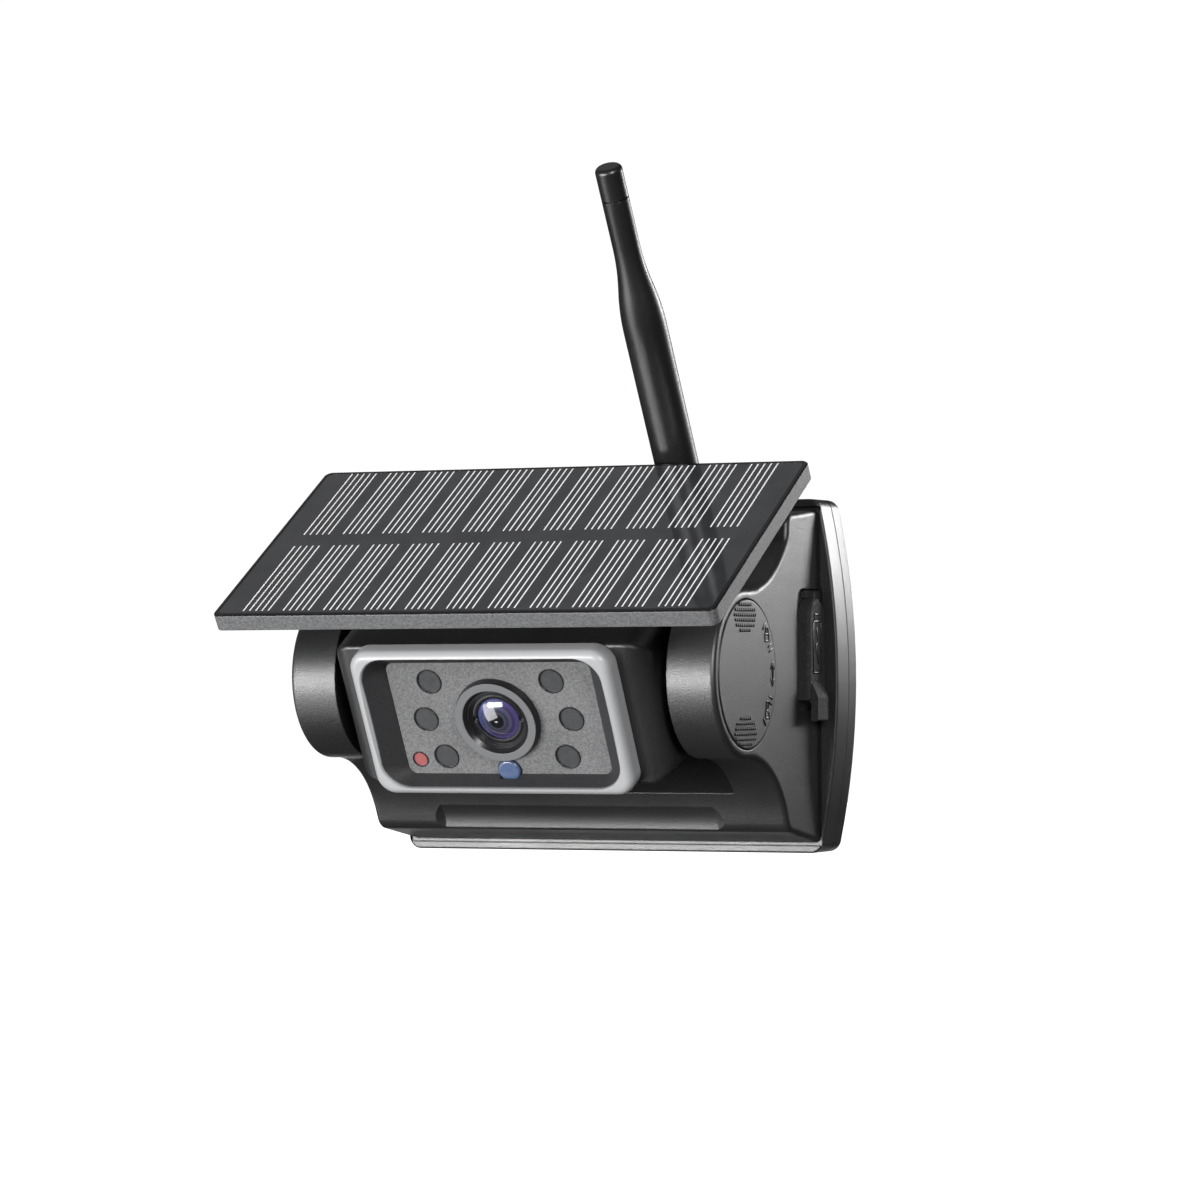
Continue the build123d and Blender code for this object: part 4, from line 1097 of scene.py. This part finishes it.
# --- sub-assemblies
@dataclass
class CameraHead:
    """Face of the camera: window rims, lens trim and the round parts of the barrel."""

    face: Tilted
    wardrobe: Wardrobe
    body: str = "camera_head"
    front_mm: float = 21.1
    window_radius_mm: float = 2.8
    windows_mm: Pairs = (
        (-15.2, 9.6),
        (15.2, 9.6),
        (-18.15, 0.0),
        (18.15, 0.0),
        (-15.2, -9.6),
        (15.2, -9.6),
    )
    status_mm: Pair = (-22.0, -10.4)
    status_radius_mm: float = 1.7
    sensor_mm: Pair = (0.0, -13.1)
    sensor_radius_mm: float = 2.7
    rim_lap_mm: float = 0.02
    window_rim_mm: float = 0.3
    small_rim_mm: float = 0.28
    rim_height_mm: float = 0.22
    rim_soften_mm: float = 0.07
    rim_sink_mm: float = 0.05
    lens_sides: int = 72
    retainer_mm: tuple[float, float, float] = (5.2, 6.15, 0.75)
    retainer_sink_mm: float = 0.58
    key_slot_mm: float = 0.35
    step_count: int = 3
    step_radius_mm: float = 7.2
    step_inwards_mm: float = 0.35
    step_back_mm: float = 0.32
    step_front_mm: float = 0.55
    step_section_mm: Pair = (0.3, 0.35)

    def build(self) -> None:
        """Makes the head's own pieces."""
        self.window_rims()
        self.lens_retainer()
        self.lens_steps()

    def window_rims(self) -> None:
        """Thin black rims round the diode windows, the status window and the sensor."""
        sunk = self.front_mm - self.rim_sink_mm
        rim = Bench.ring(
            "ir_window_rims",
            self.window_radius_mm - self.rim_lap_mm,
            self.window_radius_mm + self.window_rim_mm,
            self.rim_height_mm,
            self.rim_soften_mm,
        )
        places = [self.face.at(x, v, sunk) for x, v in self.windows_mm]
        Bench.hand_over(Bench.repeat(rim, places), self.body, Slot.LENS_BLACK, self.wardrobe)
        for name, (x, v), radius in (
            ("status_window_rim", self.status_mm, self.status_radius_mm),
            ("sensor_window_rim", self.sensor_mm, self.sensor_radius_mm),
        ):
            rim = Bench.ring(
                name,
                radius - self.rim_lap_mm,
                radius + self.small_rim_mm,
                self.rim_height_mm,
                self.rim_soften_mm,
                40,
            )
            Bench.settle(rim, self.face.at(x, v, sunk))
            Bench.hand_over(rim, self.body, Slot.LENS_BLACK, self.wardrobe)

    def lens_retainer(self) -> None:
        """Threaded ring that holds the front glass, with two key slots."""
        slot = self.key_slot_mm * MM
        ring = Bench.ring("lens_retainer", *self.retainer_mm, 0.0, self.lens_sides)
        Bench.pick(
            ring,
            Domain.FACES,
            lambda middle, normal: faces_up(middle, normal) and abs(middle.y) < slot,
        )
        bpy.ops.mesh.extrude_region_move(TRANSFORM_OT_translate={"value": (0, 0, -slot)})
        Bench.leave()
        Bench.soften(ring, 0.08)
        Bench.settle(ring, self.face.at(0, 0, self.front_mm - self.retainer_sink_mm))
        Bench.hand_over(ring, self.body, Slot.LENS_BLACK, self.wardrobe)

    def lens_steps(self) -> None:
        """Fine light-trap steps inside the lens mouth."""
        steps = []
        width, height = self.step_section_mm
        for index in range(self.step_count):
            outer = self.step_radius_mm - self.step_inwards_mm * index
            out = self.front_mm + self.step_front_mm - self.step_back_mm * index
            step = Bench.ring(
                f"lens_step_{index}", outer - width, outer, height, 0.06, self.lens_sides
            )
            Bench.settle(step, self.face.at(0, 0, out))
            steps.append(step)
        whole = Bench.joined("lens_steps", steps)
        Bench.hand_over(whole, self.body, Slot.LENS_BLACK, self.wardrobe)


@dataclass
class TwistCover:
    """Grip dots and turning marks on the end cover."""

    face: Tilted
    wardrobe: Wardrobe
    body: str = "twist_cover"
    dot_pitch_mm: float = 1.1
    row_pitch_mm: float = 1.16
    rows: tuple[int, ...] = (7, 11, 12, 11, 10, 6)
    top_row_mm: float = 15.65
    middle_mm: float = -1.6
    dot_radius_mm: float = 0.42
    dot_height_mm: float = 0.3
    dot_inset_mm: float = 0.16
    dot_rise_mm: float = 0.14
    mark_radius_mm: float = 14.6
    arc_deg: tuple[int, int, int] = (-10, 13, 4)
    arrow_mm: Pair = (0.9, 1.3)
    padlocks: Pairs = ((38.0, 0.0), (-38.0, 0.7))
    ticks_deg: tuple[float, ...] = (22.0, 27.0, 49.0, -22.0, -27.0, -49.0)
    tick_reach_mm: Pair = (-1.1, 0.6)
    arc_stroke_mm: Pair = (0.55, 0.2)
    thin_stroke_mm: Pair = (0.45, 0.16)
    padlock_stroke_mm: Pair = (0.4, 0.16)
    sink_mm: float = 0.02

    def build(self) -> None:
        """Makes the cover's own pieces."""
        self.grip_dots()
        self.turn_marks()

    def grip_dots(self) -> None:
        """Two patches of small raised dots."""
        dot = Bench.primitive(
            "cover_grip_dots",
            bpy.ops.mesh.primitive_cylinder_add,
            vertices=10,
            radius=self.dot_radius_mm * MM,
            depth=self.dot_height_mm * MM,
        )
        Bench.pick(dot, Domain.FACES, faces_up)
        bpy.ops.mesh.inset(thickness=self.dot_inset_mm * MM)
        bpy.ops.transform.translate(value=(0, 0, self.dot_rise_mm * MM))
        Bench.leave()
        places = []
        for row, count in enumerate(self.rows):
            height = self.top_row_mm - self.row_pitch_mm * row
            for index in range(count):
                across = self.middle_mm + (index - (count - 1) / 2) * self.dot_pitch_mm
                places += [self.face.at(across, height), self.face.at(across, -height)]
        Bench.hand_over(Bench.repeat(dot, places), self.body, Slot.HOUSING, self.wardrobe)

    def turn_marks(self) -> None:
        """An arc with an arrow head at each end, and an open and a closed padlock."""
        strokes: list[Piece] = []
        arc = [self._on_circle(self.mark_radius_mm, angle) for angle in range(*self.arc_deg)]
        strokes += Bench.path("mark_stroke", arc, *self.arc_stroke_mm)
        half, length = self.arrow_mm
        for tip, turn in ((arc[-1], 1), (arc[0], -1)):
            for spread in (-half, half):
                back = (tip[0] + spread, tip[1] - turn * length)
                strokes += Bench.path("mark_stroke", (tip, back), *self.thin_stroke_mm)
        for angle, lifted in self.padlocks:
            strokes += self._padlock(angle, lifted)
        for angle in self.ticks_deg:
            ends = [
                self._on_circle(self.mark_radius_mm + reach, angle)
                for reach in self.tick_reach_mm
            ]
            strokes += Bench.path("mark_stroke", ends, *self.thin_stroke_mm)
        marks = Bench.joined("cover_turn_marks", strokes)
        Bench.settle(marks, self.face.at(0, 0, -self.sink_mm))
        Bench.hand_over(marks, self.body, Slot.LENS_BLACK, self.wardrobe)

    @staticmethod
    def _on_circle(radius: float, angle_deg: float) -> Pair:
        """A point on a circle round the cover's middle, in millimetres."""
        angle = math.radians(angle_deg)
        return radius * math.cos(angle), radius * math.sin(angle)

    def _padlock(self, angle_deg: float, lifted_mm: float) -> list[Piece]:
        """Strokes of a padlock beside the arc.

        Args:
            angle_deg: where it stands round the cover's middle.
            lifted_mm: how far its shackle is lifted, or 0 where it is closed.

        Returns:
            The strokes, which are not joined yet.
        """
        x, y = self._on_circle(self.mark_radius_mm - 0.4, angle_deg)
        half, low, high = 1.1, -1.3, 0.3
        side, bend, top = 0.65, 0.4, high + 1.5 + lifted_mm
        corners = [(-half, low), (half, low), (half, high), (-half, high), (-half, low)]
        shackle = [(-side, high), (-side, top - bend), (-0.3, top), (0.3, top), (side, top - bend)]
        shackle.append((side, high + (lifted_mm + 0.2 if lifted_mm else 0.0)))
        strokes = []
        for path in (corners, shackle):
            moved = [(x + across, y + upward) for across, upward in path]
            strokes += Bench.path("mark_stroke", moved, *self.padlock_stroke_mm)
        return strokes


@dataclass
class PortFlap:
    """Battery mark on the charging-port flap."""

    face: Tilted
    wardrobe: Wardrobe
    body: str = "usb_flap"
    outline_mm: Pairs = ((-2.35, 12.6), (-2.35, 0.7), (2.3, 0.7), (2.3, 12.6), (-2.35, 12.6))
    terminal_mm: Pairs = ((-1.3, 12.9), (-1.3, 14.2), (1.3, 14.2), (1.3, 12.9))
    bolt_mm: Pairs = ((-0.1, 11.0), (0.35, 7.6), (-1.0, 7.1), (0.9, 3.0))
    stroke_mm: Pair = (0.42, 0.14)
    sink_mm: float = 0.02

    def build(self) -> None:
        """Makes the flap's own pieces."""
        strokes = []
        for points in (self.outline_mm, self.terminal_mm, self.bolt_mm):
            strokes += Bench.path("flap_stroke", points, *self.stroke_mm)
        mark = Bench.joined("flap_battery_mark", strokes)
        Bench.settle(mark, self.face.at(0, 0, -self.sink_mm))
        Bench.hand_over(mark, self.body, Slot.LENS_BLACK, self.wardrobe)


@dataclass
class Hinges:
    """Domed ends on the hinge pins of the panel and the antenna."""

    wardrobe: Wardrobe
    body: str = "root"
    caps_mm: tuple[tuple[str, float], ...] = (("panel_pin", 1.9), ("antenna_pin", 2.3))
    cap_height_mm: float = 0.6
    cap_sink_mm: float = 0.3
    cap_dome_mm: float = 0.25
    slot_depth_mm: float = 0.3

    def build(self) -> None:
        """Makes a cap for both ends of each pin."""
        for node, radius in self.caps_mm:
            low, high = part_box(node)
            middle = (low + high) / 2
            ends = []
            for side, x in ((1, high.x), (-1, low.x)):
                end = Tilted(Vector((x, middle.y, middle.z)), -Y_AXIS * side, X_AXIS * side)
                ends.append(end.at(0, 0, -self.cap_sink_mm))
            cap = self._cap(f"{node}_caps", radius)
            Bench.hand_over(Bench.repeat(cap, ends), self.body, Slot.STEEL, self.wardrobe)

    def _cap(self, name: str, radius_mm: float) -> Piece:
        """A low domed head with a hollow in its middle.

        Args:
            name: name of the piece.
            radius_mm: its radius.

        Returns:
            The cap, standing on its own origin.
        """
        cap = Bench.primitive(
            name,
            bpy.ops.mesh.primitive_cylinder_add,
            vertices=32,
            radius=radius_mm * MM,
            depth=self.cap_height_mm * MM,
            location=(0, 0, self.cap_height_mm / 2 * MM),
        )
        Bench.pick(cap, Domain.FACES, faces_up)
        bpy.ops.mesh.inset(thickness=radius_mm * 0.3 * MM)
        bpy.ops.transform.translate(value=(0, 0, self.cap_dome_mm * MM))
        bpy.ops.mesh.inset(thickness=radius_mm * 0.22 * MM)
        bpy.ops.mesh.extrude_region_move(
            TRANSFORM_OT_translate={"value": (0, 0, -self.slot_depth_mm * MM)}
        )
        Bench.leave()
        Bench.soften(cap, 0.05)
        return cap


@dataclass(frozen=True)
class Softbox:
    """A rectangular soft light.

    It faces its aim, or the middle of the object where it has none.
    """

    name: str
    place: tuple[float, float, float]
    width: float
    height: float
    watts: float
    aim: tuple[float, float, float] | None = None
    spread_deg: float = 180.0


@dataclass
class Studio:
    """Floor, soft lights and the camera."""

    camera_place: Vector = Vector((0.43937, -0.99162, 0.00238))
    camera_back: Vector = Vector((0.41212, -0.91101, -0.01485))
    camera_up: Vector = Vector((0.01097, -0.01133, 0.99988))
    lens: float = 135.03
    sensor: float = 36.0
    floor_drop: float = 0.9
    floor_radius: float = 30.0
    floor_glow: float = 1.3
    room: Colour = (1.0, 1.0, 1.0)
    room_strength: float = 1.05
    fill: Colour = (0.95, 0.97, 1.0)
    fill_strength: float = 0.05
    middle: Vector = Vector((0, -0.05, 0.02))
    softboxes: tuple[Softbox, ...] = (
        Softbox("key", (-0.62, -1.42, -0.14), 1.2, 0.26, 32.0),
        Softbox("low_left", (-0.78, -0.78, -0.42), 0.8, 0.8, 6.0),
        Softbox("front_right", (1.15, -1.3, 0.55), 0.6, 0.6, 24.0),
        Softbox("overhead", (-0.85, 0.85, 1.65), 2.2, 2.2, 3.2),
        Softbox("side", (0.25, 0.38, 0.13), 0.2, 0.16, 0.07, (0.053, -0.075, 0.005), 32.0),
        Softbox("back", (-0.5, 1.6, -0.2), 0.9, 0.9, 3.0),
    )

    def build(self) -> None:
        """Makes the floor, the lights and the camera."""
        self.floor()
        self.surroundings()
        for box in self.softboxes:
            self.hang(box)
        self.camera()

    def floor(self) -> None:
        """A wide pale floor below the wall-mounted camera."""
        low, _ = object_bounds()
        floor = Bench.primitive(
            "studio_floor",
            bpy.ops.mesh.primitive_circle_add,
            vertices=96,
            radius=self.floor_radius,
            fill_type="NGON",
            location=(0, 0, low.z - self.floor_drop),
        )
        table = NodeTable.named("studio_floor")
        cloud = table.noise(900.0, 1.0)
        floor.data.materials.append(
            table.paint(
                Base_Color=table.blend(cloud, (0.9, 0.9, 0.9), (0.93, 0.93, 0.93)),
                Roughness=0.9,
                Emission_Color=(1.0, 1.0, 1.0),
                Emission_Strength=self.floor_glow,
            )
        )
        floor.visible_diffuse = False
        floor.visible_glossy = False
        floor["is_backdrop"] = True

    def surroundings(self) -> None:
        """A white room that lights the object only softly."""
        world = bpy.data.worlds.new("studio_room")
        bpy.context.scene.world = world
        table = NodeTable(world)
        path = table.node("ShaderNodeLightPath")
        seen, fill = (
            table.node("ShaderNodeBackground", {}, {"Color": colour, "Strength": strength})
            for colour, strength in (
                (self.room, self.room_strength),
                (self.fill, self.fill_strength),
            )
        )
        mix = table.node(
            "ShaderNodeMixShader",
            {},
            {0: path.outputs["Is Camera Ray"], 1: fill.outputs[0], 2: seen.outputs[0]},
        )
        table.node("ShaderNodeOutputWorld", {}, {"Surface": mix.outputs[0]})
        view = bpy.context.scene.view_settings
        view.view_transform = "Standard"
        view.look = "None"

    def hang(self, box: Softbox) -> None:
        """Hangs one soft light.

        Args:
            box: its place, size and power.
        """
        data = bpy.data.lights.new(box.name, "AREA")
        data.shape = "RECTANGLE"
        data.size = box.width
        data.size_y = box.height
        data.energy = box.watts
        data.spread = math.radians(box.spread_deg)
        lamp = bpy.data.objects.new(box.name, data)
        lamp.visible_camera = False
        bpy.context.scene.collection.objects.link(lamp)
        lamp.location = box.place
        towards = (Vector(box.aim) if box.aim else self.middle) - Vector(box.place)
        lamp.rotation_euler = towards.to_track_quat("-Z", "Y").to_euler()

    def camera(self) -> None:
        """The camera, seen from its own right-hand front."""
        data = bpy.data.cameras.new("view_camera")
        data.sensor_width = self.sensor
        data.lens = self.lens
        data.clip_start = 0.05
        camera = bpy.data.objects.new("view_camera", data)
        bpy.context.scene.collection.objects.link(camera)
        back = self.camera_back.normalized()
        right = self.camera_up.cross(back).normalized()
        up = back.cross(right)
        camera.matrix_world = placed(right, up, back, self.camera_place)
        bpy.context.scene.camera = camera


# --- the whole camera
class SolarCamera:
    """The whole object: its working frames, finishes and sub-assemblies."""

    head_tilt_deg = 27.6
    panel_slope_deg = 31.5
    flap_face_x = 0.055
    flap_shift = 0.0004

    def __init__(self, frame: dict[str, Any]) -> None:
        """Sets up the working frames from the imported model.
        """
        self.frame = frame
        tilt = math.radians(self.head_tilt_deg)
        slope = math.radians(self.panel_slope_deg)
        pivot = Vector(self._joint("head_tilt")["pos_m"])
        look = Vector((0, -math.cos(tilt), -math.sin(tilt)))
        self.face = Tilted(pivot, X_AXIS, look)
        glass_low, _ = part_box("panel_glass")
        tray_low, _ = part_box("panel_tray")
        normal = Vector((0, -math.sin(slope), math.cos(slope)))
        self.panel = Tilted(Vector((0, tray_low.y, glass_low.z)), X_AXIS, normal)
        _, cover_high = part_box("twist_cover")
        self.end = Tilted(Vector((cover_high.x, pivot.y, pivot.z)), Y_AXIS, X_AXIS)
        flap_low, flap_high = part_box("usb_flap")
        flap_middle = (flap_low.y + flap_high.y) / 2 - self.flap_shift
        self.flap = Tilted(Vector((self.flap_face_x, flap_middle, 0.0)), Y_AXIS, X_AXIS)
        self.wardrobe = Wardrobe(self.face, self.panel)

    def _joint(self, name: str) -> dict[str, Any]:
        """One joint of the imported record."""
        return next(row for row in self.frame["joints"] if row["name"] == name)

    def build(self) -> None:
        """Dresses the CAD nodes and builds every new piece."""
        self.wardrobe.dress_frame(self.frame)
        CameraHead(self.face, self.wardrobe).build()
        TwistCover(self.end, self.wardrobe).build()
        PortFlap(self.flap, self.wardrobe).build()
        Hinges(self.wardrobe).build()


def main() -> None:
    """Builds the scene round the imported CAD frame."""
    logging.basicConfig(level=logging.INFO, format="%(name)s: %(message)s")
    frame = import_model()
    Studio().build()
    SolarCamera(frame).build()


if __name__ == "__main__":
    main()
